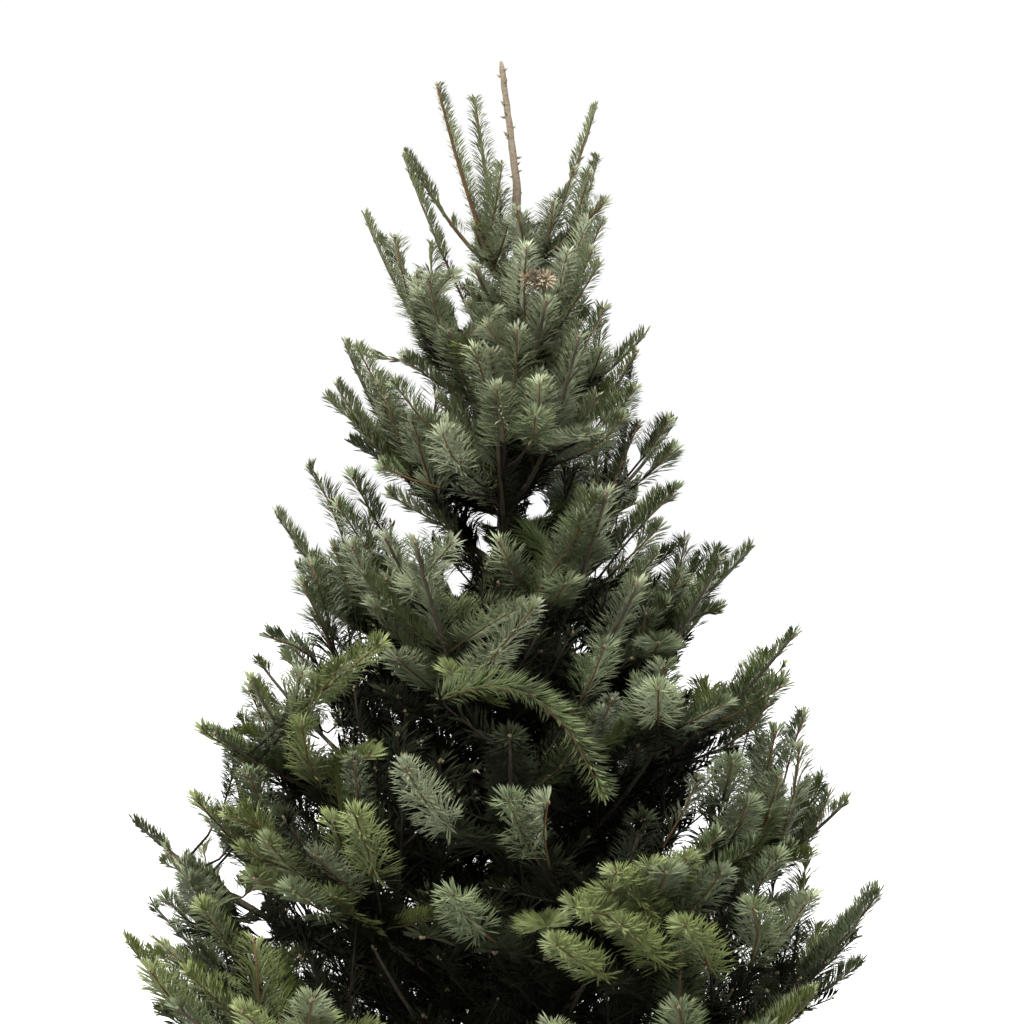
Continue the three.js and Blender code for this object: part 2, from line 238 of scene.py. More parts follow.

# Shoots that stand out: x and height of tip and of foot, fullness and colour. Some colours are picked
# lighter or darker for how lit a shoot stands, as painted light and shade
MARKS = (
    (-0.138, 0.98, -0.081, 0.864, 1, "silver"), (-0.075, 0.82, -0.052, 0.74, 1, "green"),
    (-0.006, 0.94, 0.018, 0.855, 1, "green"), (0.052, 0.936, 0.022, 0.85, 1, "silver"),
    (-0.2, 0.922, -0.16, 0.826, 1, "fresh"), (0.069, 0.795, 0.162, 0.77, 0.6, "fresh"),
    (0.05, 0.75, 0.12, 0.7, 0.6, "fresh"), (0.13, 0.775, 0.2, 0.72, 0.7, "fresh"),
    (0.21, 0.775, 0.27, 0.72, 0.7, "fresh"), (0.3, 0.8, 0.33, 0.73, 0.6, "green"),
    (0.38, 0.81, 0.33, 0.74, 0.3, "silver"), (0.125, 0.841, 0.194, 0.77, 0.6, "fresh"),
    (0.225, 0.861, 0.188, 0.782, 0.6, "fresh"), (0.269, 0.841, 0.225, 0.77, 0.6, "green"),
    (-0.152, 1.129, -0.25, 1.051, 0.8, "fresh"), (-0.205, 1.1, -0.26, 1.03, 0.6, "fresh"),
    (-0.26, 1.09, -0.275, 1.01, 0.6, "silver"), (-0.065, 1.255, -0.138, 1.176, 0.7, "silver"),
    (0.008, 1.53, 0.012, 1.44, 1, "silver"), (-0.134, 1.733, -0.09, 1.61, 0, "silver"),
    (-0.165, 1.628, -0.125, 1.57, 0, "silver"), (0.03, 1.42, 0.035, 1.36, 1, "green"),
    (-0.05, 1.505, -0.02, 1.42, 1, "silver"), (-0.02, 1.455, 0.0, 1.37, 1, "silver"),
    (0.035, 1.46, 0.045, 1.38, 0.8, "silver"), (-0.088, 1.4, -0.069, 1.326, 1, "silver"),
    (-0.165, 1.345, -0.095, 1.31, 0.4, "green"), (-0.2, 1.251, -0.172, 1.164, 0.5, "silver"),
    (0.022, 1.628, 0.012, 1.54, 0.6, "pale"), (0.075, 1.625, 0.055, 1.53, 0.8, "pale"),
    (0.101, 1.66, 0.052, 1.53, 0.6, "pale"), (0.102, 1.715, 0.075, 1.64, 0.3, "silver"),
    (0.105, 1.62, 0.08, 1.55, 0.3, "silver"), (0.118, 1.655, 0.09, 1.59, 0.2, "pale"),
    (0.112, 1.735, 0.085, 1.64, 0.2, "silver"), (0.185, 1.075, 0.185, 1.01, 0.8, "sage"),
    (0.13, 1.06, 0.11, 0.985, 0.6, "old"), (0.12, 1.125, 0.1, 1.05, 0.5, "green"),
    (-0.262, 1.032, -0.25, 0.93, 0.7, "fresh"), (-0.36, 0.911, -0.262, 0.864, 0.3, "fresh"),
    (-0.34, 0.864, -0.225, 0.826, 0.3, "fresh"), (0.038, 1.176, -0.05, 1.07, 0.6, "silver"),
    (0.115, 1.318, 0.038, 1.176, 0.8, "sage"), (0.115, 1.6, 0.07, 1.53, 0.2, "silver"),
    (0.12, 1.545, 0.08, 1.47, 0.2, "green"), (0.16, 1.447, 0.12, 1.38, 0.4, "green"),
    (0.145, 1.41, 0.105, 1.35, 0.5, "green"), (0.163, 1.4, 0.13, 1.33, 0.2, "old"),
    (0.199, 1.401, 0.158, 1.333, 0, "green"), (0.205, 1.366, 0.165, 1.32, 0, "green"),
    (0.208, 1.313, 0.15, 1.262, 0, "green"), (0.19, 1.27, 0.14, 1.22, 0.4, "green"),
    (-0.195, 1.5, -0.125, 1.36, 0.6, "silver"), (-0.15, 1.455, -0.1, 1.38, 0.6, "sage"),
    (-0.219, 1.447, -0.17, 1.36, 0, "silver"), (-0.255, 1.345, -0.2, 1.27, 0.2, "sage"),
    (-0.2, 1.335, -0.165, 1.27, 0.3, "green"), (-0.219, 1.301, -0.175, 1.226, 0.4, "sage"),
    (-0.262, 1.2, -0.22, 1.12, 0.2, "green"), (-0.25, 1.226, -0.219, 1.139, 0.3, "sage"),
    (-0.302, 1.13, -0.238, 1.114, 0, "green"), (-0.33, 1.075, -0.285, 0.965, 0.8, "sage"),
    (-0.355, 0.995, -0.306, 0.939, 0.5, "sage"), (-0.43, 0.865, -0.37, 0.8, 0, "sage"),
    (-0.405, 0.835, -0.37, 0.76, 0.6, "green"), (-0.435, 0.81, -0.39, 0.74, 0.6, "green"),
    (-0.39, 0.8, -0.34, 0.73, 0.6, "fresh"), (-0.33, 0.965, -0.3, 0.88, 0.4, "green"),
    (-0.2, 0.99, -0.18, 0.9, 0.8, "old"), (-0.28, 0.82, -0.22, 0.77, 0.5, "green"),
    (0.325, 1.051, 0.281, 0.975, 0.3, "green"), (0.369, 1.035, 0.335, 0.95, 0, "green"),
    (0.362, 0.995, 0.355, 0.87, 0, "silver"), (0.335, 1.02, 0.31, 0.93, 0.4, "green"),
    (0.34, 0.96, 0.31, 0.88, 0.4, "green"), (0.4, 0.935, 0.365, 0.84, 0, "green"),
    (0.28, 0.98, 0.26, 0.9, 0.4, "green"), (0.3, 0.93, 0.27, 0.85, 0.6, "green"),
    (0.34, 0.86, 0.29, 0.8, 0.5, "green"), (0.24, 0.965, 0.21, 0.885, 1, "old"),
)
# Places where inner shoots close the view through the crown, as x and height. Their needles are dark:
# near-black painted shade in the heart, the older needles' darker colour elsewhere
CLOSED = (
    (-0.037, 0.849), (-0.085, 1.0), (-0.07, 0.93), (-0.341, 0.953), (-0.3, 0.87), (-0.205, 1.134),
    (-0.12, 0.86), (0.219, 0.93), (0.287, 0.998), (0.3, 0.93), (0.15, 1.405), (0.2, 0.976),
    (0.225, 0.94), (0.185, 0.93), (0.3, 1.02), (-0.055, 0.86), (-0.06, 0.985), (0.12, 1.35),
    (-0.3, 0.945), (-0.265, 0.935), (-0.325, 0.9), (-0.036, 0.846),
)
CLOSED_AT = 0.04
CLOSED_ENDS = (0.06, -0.045)
CLOSED_BARE = 0.3
CLOSED_DENSITY = 1.5
# A bough end that arches over and droops: x and height of foot, bend and tip
ARCH = ((-0.09, 1.05), (0.04, 1.12), (0.115, 0.936))
ARCH_FULLNESS = 0.5
# Openings in the crown where the sky shows: x, height, half width and half height
SKY_SHOWS = (
    (-0.078, 1.676, 0.009, 0.026), (-0.059, 1.626, 0.012, 0.02), (-0.125, 1.657, 0.016, 0.024),
    (-0.118, 1.614, 0.014, 0.03), (-0.172, 1.536, 0.025, 0.02), (-0.178, 1.588, 0.022, 0.024),
    (-0.152, 1.492, 0.02, 0.011), (-0.06, 1.526, 0.01, 0.014), (0.044, 1.739, 0.03, 0.05),
    (-0.1, 1.428, 0.007, 0.014), (0.11, 1.396, 0.01, 0.009), (0.157, 1.348, 0.013, 0.02),
    (0.034, 1.29, 0.019, 0.016), (-0.132, 1.275, 0.02, 0.017), (-0.222, 1.34, 0.02, 0.016),
    (-0.238, 1.255, 0.013, 0.022), (-0.022, 1.278, 0.012, 0.014), (0.207, 1.28, 0.022, 0.018),
    (-0.033, 1.245, 0.01, 0.018), (0.15, 1.243, 0.009, 0.017), (0.11, 1.212, 0.013, 0.011),
    (-0.066, 1.199, 0.018, 0.016), (-0.275, 1.164, 0.022, 0.026), (0.089, 1.114, 0.012, 0.008),
    (0.25, 1.103, 0.03, 0.033), (-0.231, 1.008, 0.018, 0.018), (0.238, 0.897, 0.009, 0.009),
    (-0.394, 0.882, 0.012, 0.016), (-0.372, 0.857, 0.012, 0.016), (-0.35, 0.828, 0.012, 0.018),
    (-0.331, 0.8, 0.018, 0.02), (-0.31, 0.766, 0.012, 0.018), (0.024, 1.69, 0.011, 0.028),
    (-0.256, 0.79, 0.028, 0.008), (-0.415, 0.883, 0.018, 0.026), (0.347, 0.957, 0.007, 0.026),
    (0.398, 0.896, 0.012, 0.018), (-0.294, 1.082, 0.013, 0.016), (-0.286, 1.059, 0.009, 0.009),
    (-0.354, 1.036, 0.016, 0.013), (-0.366, 0.936, 0.008, 0.01), (-0.444, 0.764, 0.018, 0.012),
    (-0.43, 0.788, 0.013, 0.011), (-0.415, 0.75, 0.018, 0.007), (0.392, 0.826, 0.017, 0.018),
    (0.452, 0.775, 0.014, 0.01), (0.332, 1.096, 0.008, 0.014),
)
# Dark hollows, which also have the furthest y that stays open, in front of the crown's heart. Only growth
# nearer than that y is left out, and near-black needles, as painted shade, stay in them
HOLLOWS = (
    (-0.006, 0.989, 0.07, 0.04, -0.15), (0.09, 0.876, 0.065, 0.055, -0.15),
    (-0.042, 0.905, 0.028, 0.045, -0.15), (-0.268, 0.925, 0.035, 0.042, -0.15),
    (0.17, 0.9, 0.05, 0.03, -0.15), (-0.115, 1.32, 0.035, 0.025, -0.06),
    (-0.15, 0.79, 0.035, 0.03, -0.25), (0.19, 0.96, 0.035, 0.035, -0.15),
    (0.015, 1.33, 0.045, 0.05, -0.06), (-0.04, 0.845, 0.03, 0.035, -0.15),
)
BEHIND_CROWN = 1
SKY_GAPS = tuple((*gap, BEHIND_CROWN) for gap in SKY_SHOWS)
ALL_GAPS = SKY_GAPS + HOLLOWS
# A gap's edge: how far its corners stand out, how many it has, and how far they turn with x
GAP_LOBES = 0.55
GAP_CORNERS = 3
GAP_TURN = 90
# Where twigs and stalks are tested for gaps, as shares of their length
GAP_CHECKS = (0.3, 0.5, 0.7, 0.85, 1.0)
STALK_CHECKS = (0.1, 0.3, 0.5, 0.7, 0.9)
LIMB_PLACES = np.linspace(0.05, 0.9, 30)
FRONT_SHARE = 0.97
MARK_FOOT = 0.82
MARK_YOUNG = 1.1
MARK_DRAWN_BACK = (0.004, 0.017)

# A tuft that has dried out
DRY_FOOT = (0.034, 1.568)
DRY_COUNT = 4
DRY_LENGTH = 0.018
DRY_DEPTH = -0.13
DRY_SIDEWAYS = (-1, 0.5)
DRY_FORWARD = -0.5

# Needles: how they stand round a shoot, in degrees from its upper side, and lean from its line
# Each pair holds for a flat spray and for a full brush
NEEDLE_ROUND = (108, 168)
NEEDLE_TOP_LEAN = (26, 48)
NEEDLE_SIDE_LEAN = (62, 70)
NEEDLE_TOP_SHARE = (0.45, 0.85)
NEEDLE_LOWER = (0.4, 0.75)
NEEDLE_TIP_SHARE = (0.04, 0.12)
NEEDLE_TIP_REACH = 0.014
NEEDLE_TIP_LENGTH = 0.85
NEEDLE_BLUNT_FROM = 0.72
NEEDLE_BLUNT = 0.38
NEEDLE_CROWDING = 0.9
NEEDLE_LEAN_CHANCE = 4
OLD_LENGTH = 0.62
NEEDLE_WIDEST = 0.64
NEEDLE_JITTER = 0.05
NEEDLE_LENGTH_CHANCE = 0.06
NEEDLE_UPSWEEP = (0.16, 0.12)
NEEDLE_ROLL = 0.4
NEEDLE_SUNK = 0.6
FEWEST_NEEDLES = 6
FULLNESS = 0.35
NEEDLES_A_PIECE = 49000
# A needle's faces, by its root, tip, left and right corners, and which of them are its underside
NEEDLE_FACES = np.array(((0, 2, 1), (0, 1, 3), (0, 3, 2), (1, 2, 3)))
NEEDLE_SIDES = np.array((0, 0, 1, 1))
SMALL_NEEDLES = ((1.3, 1), (1.6, 0.82), (1.8, 0.62))

# How much wax whitens the underside of each colour of needle
WAX = {
    "pale": 0.6, "silver": 0.75, "sage": 0.5, "green": 0.3, "fresh": 0.15,
    "old": 0.2, "deep": 0.06, "dry": 0.0,
}
UP = np.array((0.0, 0.0, 1.0))
MEASURED_AT = np.linspace(0, 1, 201)


class Shoot(NamedTuple):
    """One line of growth: root, bend and end, and what grows along it.

    Radii are those of its bark, or None where another shoot on the same line has the bark. Its
    needles stand on the span of its length, in a flat spray at fullness 0 and a brush at 1.
    """

    line: np.ndarray
    tint: str
    seed: int
    radii: tuple = TWIG_RADII
    span: tuple = (0, 1)
    density: float = 1
    roll: float = 0
    fullness: float = 1


def mix(low, high, share):
    """A number between two, by share."""
    return low + (high - low) * share


def look_up(rows, place, column=1):
    """The value at a place in rows of (place, value, ...)."""
    return np.interp(place, [row[0] for row in rows], [row[column] for row in rows])


def unit(vectors):
    """Vectors at length 1."""
    return vectors / np.linalg.norm(vectors, axis=-1, keepdims=True)


def dice(seed):
    """Repeatable chance from 0 to 1: the same seed always gives the same numbers."""
    state = seed * 2654435761 % WORD
    while True:
        state = (state * 1664525 + 1013904223) % WORD
        yield state / WORD


def point_on(line, t):
    """Points on a curve of root, bend and end."""
    t = np.asarray(t, float)[..., None]
    return (1 - t) ** 2 * line[0] + 2 * t * (1 - t) * line[1] + t ** 2 * line[2]


def along_on(line, t):
    """Directions on such a curve."""
    t = np.asarray(t, float)[..., None]
    return unit((1 - t) * (line[1] - line[0]) + t * (line[2] - line[1]))


def length_of(line):
    """The length of such a curve."""
    points = point_on(line, MEASURED_AT)
    return float(np.linalg.norm(np.diff(points, axis=0), axis=1).sum())


def frame_on(line, t, roll=0.0):
    """Along, side and up at a place on a curve, rolled about it."""
    along = along_on(line, t)
    side = unit(np.cross(UP, along))
    up = np.cross(along, side)
    cos, sin = math.cos(roll), math.sin(roll)
    return along, side * cos + up * sin, up * cos - side * sin


def turned(first, second, turns):
    """Directions turned by some angles from one way towards another."""
    return np.cos(turns)[..., None] * first + np.sin(turns)[..., None] * second


def trunk_point(height):
    """The middle of the trunk at a height."""
    return np.array((look_up(TRUNK_LINE, height), look_up(TRUNK_LINE, height, 2), height))


def bough_line(whorl, bough, place):
    """A bough's middle line, from the middle of the trunk to its tip."""
    azimuth, reach, tip = bough
    root = trunk_point(whorl.height + BOUGH_STAGGER * (place - STAGGER_MIDDLE))
    turn = math.radians(azimuth)
    end = np.array((reach * math.cos(turn), reach * math.sin(turn), tip))
    bend = (root + end) / 2
    bend[2] = mix(root[2], end[2], whorl.sag)
    return np.array((root, bend, end))


def limb_radius(size, t):
    """A bough's radius at a share of its length."""
    return LIMB_TIP_RADIUS + LIMB_TAPER * size ** LIMB_GROWTH * (1 - t)


def curve_line(root, out, end, size):
    """A twig that starts out one way and ends another."""
    bend = root + out * size * BEND_AT
    return np.array((root, bend, bend + end * size * (1 - BEND_AT)))


def keeps_to_sector(line, azimuth):
    """True if a twig's end stays beside its own bough."""
    turn = math.degrees(math.atan2(line[2][1], line[2][0])) - azimuth
    return abs((turn + 180) % 360 - 180) < SECTOR


def twigs_on(whorl, azimuth, line, seed):
    """The twigs that leave a bough by turns to the left and right, with every third one raised."""
    chance = dice(seed)
    size = length_of(line)
    count = max(FEWEST_SPRAYS, round(size * (whorl.tail - whorl.bare) / whorl.pitch))
    for i in range(count):
        share = (i + 0.5) / count
        t = mix(whorl.bare + FIRST_SPRAY, whorl.tail, share)
        along, side, up = frame_on(line, t)
        hand = 1 if i % 2 else -1
        sideways, upwards = RAISED if i % 3 == 2 else LEVEL
        spread = math.radians(mix(*SPREAD, share) + SPREAD_CHANCE * (next(chance) - 0.5))
        grown = size * mix(*SPRAY_SHARE, share) * mix(*SPRAY_CHANCE, next(chance))
        grown = min(max(grown, SPRAY_SIZES[0]), SPRAY_SIZES[1])
        cos, sin = math.cos(spread), math.sin(spread)
        out = unit(along * cos + side * hand * sin * sideways + up * sin * upwards)
        end = unit(out + UP * whorl.lift * mix(*LIFT_CHANCE, next(chance)))
        roll = SPRAY_ROLL * (2 * next(chance) - 1)
        for tried in TRIES:
            twig = curve_line(point_on(line, t), out, end, grown * tried)
            if keeps_to_sector(twig, azimuth):
                yield twig, roll
                break


def side_shoots(line, grown, year, chance):
    """Pairs of side shoots at the end of each year's growth, counted back from the tip."""
    size = length_of(line)
    back = year * mix(*YEAR_CHANCE, next(chance))
    while back < grown:
        t = 1 - back / size
        along, side, _ = frame_on(line, t)
        for hand in (-1, 1):
            spread = math.radians(mix(*SIDE_SPREAD, next(chance)))
            long = min(back * SIDE_SHARE, SIDE_MOST) * mix(*SPRAY_CHANCE, next(chance))
            lift = mix(*SIDE_LIFT, next(chance))
            if next(chance) < SIDE_SKIPPED or long < SIDE_LEAST:
                continue
            out = unit(along * math.cos(spread) + side * hand * math.sin(spread))
            yield curve_line(point_on(line, t), out, unit(out + UP * lift), long)
        back += year * mix(*YEAR_CHANCE, next(chance))


def in_heart(place):
    """True in the dark heart of the crown, where needles get painted shade."""
    share = math.hypot(place[0], place[1]) / look_up(CROWN_RADII, place[2])
    return share < look_up(HEART, place[2])


def tint_of(line, chance):
    """Which of the needle colours a shoot has, by where it grows."""
    place = point_on(line, TINT_AT)
    drawn = next(chance)
    # Shoots in the heart get the near-black colour that paints the crown's inner shade
    if in_heart(place):
        return "deep"
    fresh, silver = look_up(FRESH_SHARES, place[2]), look_up(SILVER_SHARES, place[2])
    if place[0] > DULL_FROM:
        fresh *= DULL_SHARES[0]
        silver *= DULL_SHARES[1]
    if drawn < fresh:
        return "fresh"
    if drawn < fresh + silver:
        return "silver"
    return "sage" if drawn < fresh + silver + (1 - fresh - silver) * SAGE_SHARE else "green"


def seen(points):
    """Where points appear from the camera, as x and height in the plane of the trunk."""
    away = 1 - points[..., 1] / EYE[1]
    return EYE[0] + (points[..., 0] - EYE[0]) / away, EYE[2] + (points[..., 2] - EYE[2]) / away


def crown_front(x, height):
    """How far forward the crown reaches at a place, as y."""
    return -FRONT_SHARE * math.sqrt(max(0.0, look_up(CROWN_RADII, height) ** 2 - x ** 2))


def placed(x, height, y):
    """The point that is seen at a place, at some depth."""
    away = 1 - y / EYE[1]
    return np.array((EYE[0] + (x - EYE[0]) * away, y, EYE[2] + (height - EYE[2]) * away))


def in_gap(points, shaded=False):
    """Which points lie in one of the crown's openings. Shaded growth fills the dark hollows."""
    across, height = seen(points)
    found = np.zeros(len(points), bool)
    for x, z, half_width, half_height, furthest in SKY_GAPS if shaded else ALL_GAPS:
        right, up = (across - x) / half_width, (height - z) / half_height
        edge = 1 + GAP_LOBES * np.sin(GAP_CORNERS * np.arctan2(up, right) + x * GAP_TURN)
        found |= (right ** 2 + up ** 2 < edge) & (points[:, 1] < furthest)
    return found


def in_hollow(line):
    """True if a bough ends in one of the dark hollows, where its end gets near-black needles as painted
    shade.
    """
    ends = point_on(line, GAP_CHECKS[-2:])
    return np.any(in_gap(ends) & ~in_gap(ends, True))


def marked_shoots(boughs):
    """The shoots that stand out at the front, each on a bough below it, and those that close gaps."""
    limbs = np.concatenate([point_on(line, LIMB_PLACES) for line, _ in boughs])
    for i, (tip_x, tip_z, foot_x, foot_z, fullness, tint) in enumerate(MARKS):
        front = crown_front(tip_x, tip_z)
        tip = placed(tip_x, tip_z, front)
        foot = placed(foot_x, foot_z, front * MARK_FOOT)
        tip = tip + unit(foot - tip) * mix(*MARK_DRAWN_BACK, fullness)
        line = np.array((limb_under(limbs, foot, 2 * foot - tip), foot, tip))
        young = max(0.0, 1 - np.linalg.norm(tip - foot) * MARK_YOUNG / length_of(line))
        yield Shoot(line, tint, MARK_SEED + i, span=(young, 1), fullness=fullness)
        tint, density = stalk_needles(point_on(line, young / 2))
        yield Shoot(line, tint, STALK_SEED + i, None, (0, young), density, fullness=STALK_FULLNESS)
    foot, bend, tip = (placed(x, z, crown_front(x, z)) for x, z in ARCH)
    yield Shoot(np.array((foot, bend, tip)), "sage", ARCH_SEED, fullness=ARCH_FULLNESS)
    root = limb_under(limbs, foot, foot)
    yield Shoot(np.array((root, (root + foot) / 2, foot)), "deep", ARCH_SEED + 1, density=STALK_DENSITY)
    for i, (x, z) in enumerate(CLOSED):
        tip, foot = (placed(x, z + rise, CLOSED_AT) for rise in CLOSED_ENDS)
        line = np.array((limb_under(limbs, foot, foot), foot, tip))
        tint, density = ("deep", HOLLOW_DENSITY) if in_heart(tip) else ("old", CLOSED_DENSITY)
        yield Shoot(line, tint, CLOSED_SEED + i, span=(CLOSED_BARE, 1), density=density)
    chance = dice(DRY_WAYS_SEED)
    for i in range(DRY_COUNT):
        out = unit(np.array((mix(*DRY_SIDEWAYS, next(chance)), DRY_FORWARD, next(chance))))
        line = curve_line(placed(*DRY_FOOT, DRY_DEPTH), out, out, DRY_LENGTH)
        yield Shoot(line, "dry", DRY_SEED + i, SIDE_RADII)


def stalk_needles(place):
    """Colour and density of the older needles behind a shoot that stands out: near-black painted shade in
    the heart, elsewhere the older needles' darker colour.
    """
    return ("deep", STALK_DENSITY) if in_heart(place) else ("old", OLD_DENSITY)


def limb_under(limbs, foot, place):
    """The point on a limb nearest to a place, below a foot with no sky gap on the way to it."""
    below = limbs[limbs[:, 2] < foot[2]]
    crossed = np.any([in_gap(mix(below, foot, share), True) for share in STALK_CHECKS], axis=0)
    if not crossed.all():
        below = below[~crossed]
    return below[np.argmin(np.linalg.norm(below - place, axis=1))]


def inner_whorls():
    """Small boughs that fill the space between each whorl and the next one down."""
    chance = dice(INNER_SEED)
    azimuth = 0
    for upper, lower in itertools.pairwise(WHORLS):
        gap = upper.height - lower.height
        for i in range(INNER_COUNT):
            azimuth = (azimuth + INNER_TURN) % 360
            height = lower.height + gap * mix(*INNER_HEIGHTS, (i + 0.5) / INNER_COUNT)
            reach = look_up(CROWN_RADII, height + gap / 2) * mix(*INNER_REACH, next(chance))
            tip = height + reach * mix(*INNER_RISE, next(chance))
            if reach > INNER_LEAST:
                height += BOUGH_STAGGER * STAGGER_MIDDLE
                yield lower._replace(height=height, boughs=((azimuth, reach, tip),), **INNER_SHAPE)


@functools.lru_cache(maxsize=None)
def grow(year):
    """Every bough and shoot of the tree, as (boughs, shoots). A bough is (line, length)."""
    boughs = []
    shoots = []
    seed = 0
    for whorl in (*WHORLS, *inner_whorls()):
        for place, bough in enumerate(whorl.boughs):
            seed += 1
            chance = dice(seed + BOUGH_SEED)
            line = bough_line(whorl, bough, place)
            if whorl.name == "inner" and np.any(in_gap(point_on(line, GAP_CHECKS), True)):
                continue
            size = length_of(line)
            boughs.append((line, size))
            radii = (limb_radius(size, 0), LIMB_TIP_RADIUS)
            roll = STEM_ROLL * (2 * next(chance) - 1)
            tint = tint_of(line, chance)
            ends, full = 1, 0
            # A bough that ends in a hollow gets dense near-black needles there, as painted shade
            if in_hollow(line):
                tint, ends, full = "deep", HOLLOW_DENSITY, 1
            # Below that height a bough's inner needles get the near-black painted-shade colour
            within, density = ("deep", LIMB_DENSITY) if whorl.height < SHADE_PAINTED_BELOW else (tint, 1)
            bare, tail = (LIMB_BARE, whorl.tail), (whorl.tail, 1)
            shoots.append(Shoot(line, within, seed, radii, bare, density, roll, LIMB_FULLNESS))
            shoots.append(Shoot(line, tint, seed + BOUGH_END_SEED, radii, tail, ends, roll, full))
            grown = (1 - whorl.tail) * size if whorl.height < SLIM_ABOVE else 0
            for side in side_shoots(line, grown, year, chance):
                add_shoot(shoots, side, SIDE_RADII, tint, chance, 0, year)
            for twig, twig_roll in twigs_on(whorl, bough[0], line, seed):
                tint = tint_of(twig, chance)
                add_shoot(shoots, twig, TWIG_RADII, tint, chance, twig_roll, year)
                for side in side_shoots(twig, length_of(twig), year, chance):
                    add_shoot(shoots, side, SIDE_RADII, tint, chance, twig_roll, year)
    shoots.extend(marked_shoots(boughs))
    return boughs, shoots


def add_shoot(shoots, line, radii, tint, chance, roll, year):
    """Adds a twig: last year's growth at its end, and older, thinner needles before it, darker with age
    and as painted shade.
    """
    if point_on(line, LOWEST_AT)[2] < LOWEST or np.any(in_gap(point_on(line, GAP_CHECKS))):
        return
    own = tint_of(line, chance) if tint == "deep" or next(chance) > TINT_KEPT else tint
    young = max(OLD_FROM, 1 - year * mix(*YEAR_CHANCE, next(chance)) / length_of(line))
    seed = len(shoots) + TWIG_SEED
    rise = np.clip(along_on(line, 1)[2] * FULL_RISE[0] - FULL_RISE[1], 0, 1)
    fullness = FULLNESS * next(chance) * float(rise)
    shoots.append(Shoot(line, own, seed, radii, (young, 1), 1, roll, fullness))
    if young > OLD_SHARE:
        old = own if own == "deep" or line[0][2] > SHADE_PAINTED_BELOW else "old"
        shoots.append(Shoot(line, old, seed, None, (OLD_FROM, young), OLD_DENSITY, roll, fullness))


# Meshes


def add_object(name, data):
    """An object in the scene, at the origin, for a mesh, a lamp or a camera."""
    made = bpy.data.objects.new(name, data)
    bpy.context.scene.collection.objects.link(made)
    return made


def nodes_named(prefix):
    """The names of the solids that start with a word."""
    return sorted(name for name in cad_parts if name.startswith(prefix))


def mesh_piece(name, points, faces, materials, face_materials=None, smooth=False):
    """An object at the origin from arrays of points and of triangles."""
    mesh = bpy.data.meshes.new(name)
    mesh.vertices.add(len(points))
    mesh.vertices.foreach_set("co", np.ascontiguousarray(points, np.float32).ravel())
    mesh.loops.add(faces.size)
    mesh.loops.foreach_set("vertex_index", np.ascontiguousarray(faces, np.int32).ravel())
    mesh.polygons.add(len(faces))
    mesh.polygons.foreach_set("loop_start", np.arange(0, faces.size, 3, dtype=np.int32))
    mesh.polygons.foreach_set("loop_total", np.full(len(faces), 3, np.int32))
    for material in materials:
        mesh.materials.append(material)
    if face_materials is not None:
        mesh.polygons.foreach_set("material_index", face_materials.astype(np.int32))
    mesh.polygons.foreach_set("use_smooth", np.full(len(faces), smooth))
    mesh.update(calc_edges=True)
    mesh.validate()
    return add_object(name, mesh)


def place_piece(piece, slot, *nodes):
    """Rides a piece on the tree's one body and hides the nodes it stands for. The slot is not used."""
    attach(piece, "root")
    if nodes:
        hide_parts(*nodes)


def skin_faces(rings, sides):
    """Triangles of a closed skin of rings. The last two points close its root and its tip."""
    ring = np.arange(sides)
    following = (ring + 1) % sides
    starts = np.arange(rings - 1)[:, None] * sides
    low, after = (starts + ring).ravel(), (starts + following).ravel()
    last = (rings - 1) * sides
    root, tip = np.full(sides, rings * sides), np.full(sides, rings * sides + 1)
    corners = (
        (low, after, after + sides),
        (low, after + sides, low + sides),
        (root, following, ring),
        (tip, last + ring, last + following),
    )
    return np.vstack([np.stack(each, axis=1) for each in corners])


def around(sides):
    """The angles of the corners of a ring."""
    return np.arange(sides) * 2 * math.pi / sides


def tube_arrays(line, ts, radii, sides, bumps=1):
    """Points and triangles of a closed round tube along a curve."""
    _, side, up = frame_on(line, ts)
    radii = np.asarray(radii)[:, None] * np.ones((1, sides)) * bumps
    spokes = turned(side[:, None], up[:, None], around(sides))
    points = (point_on(line, ts)[:, None] + spokes * radii[..., None]).reshape(-1, 3)
    ends = point_on(line, np.array((ts[0], ts[-1])))
    return np.vstack((points, ends)), skin_faces(len(ts), sides)


def joined(parts):
    """The points and triangles of many shapes, as those of one."""
    points = [part[0] for part in parts]
    before = np.cumsum([0] + [len(each) for each in points[:-1]])
    faces = [part[1] + shift for part, shift in zip(parts, before)]
    return np.vstack(points), np.vstack(faces)


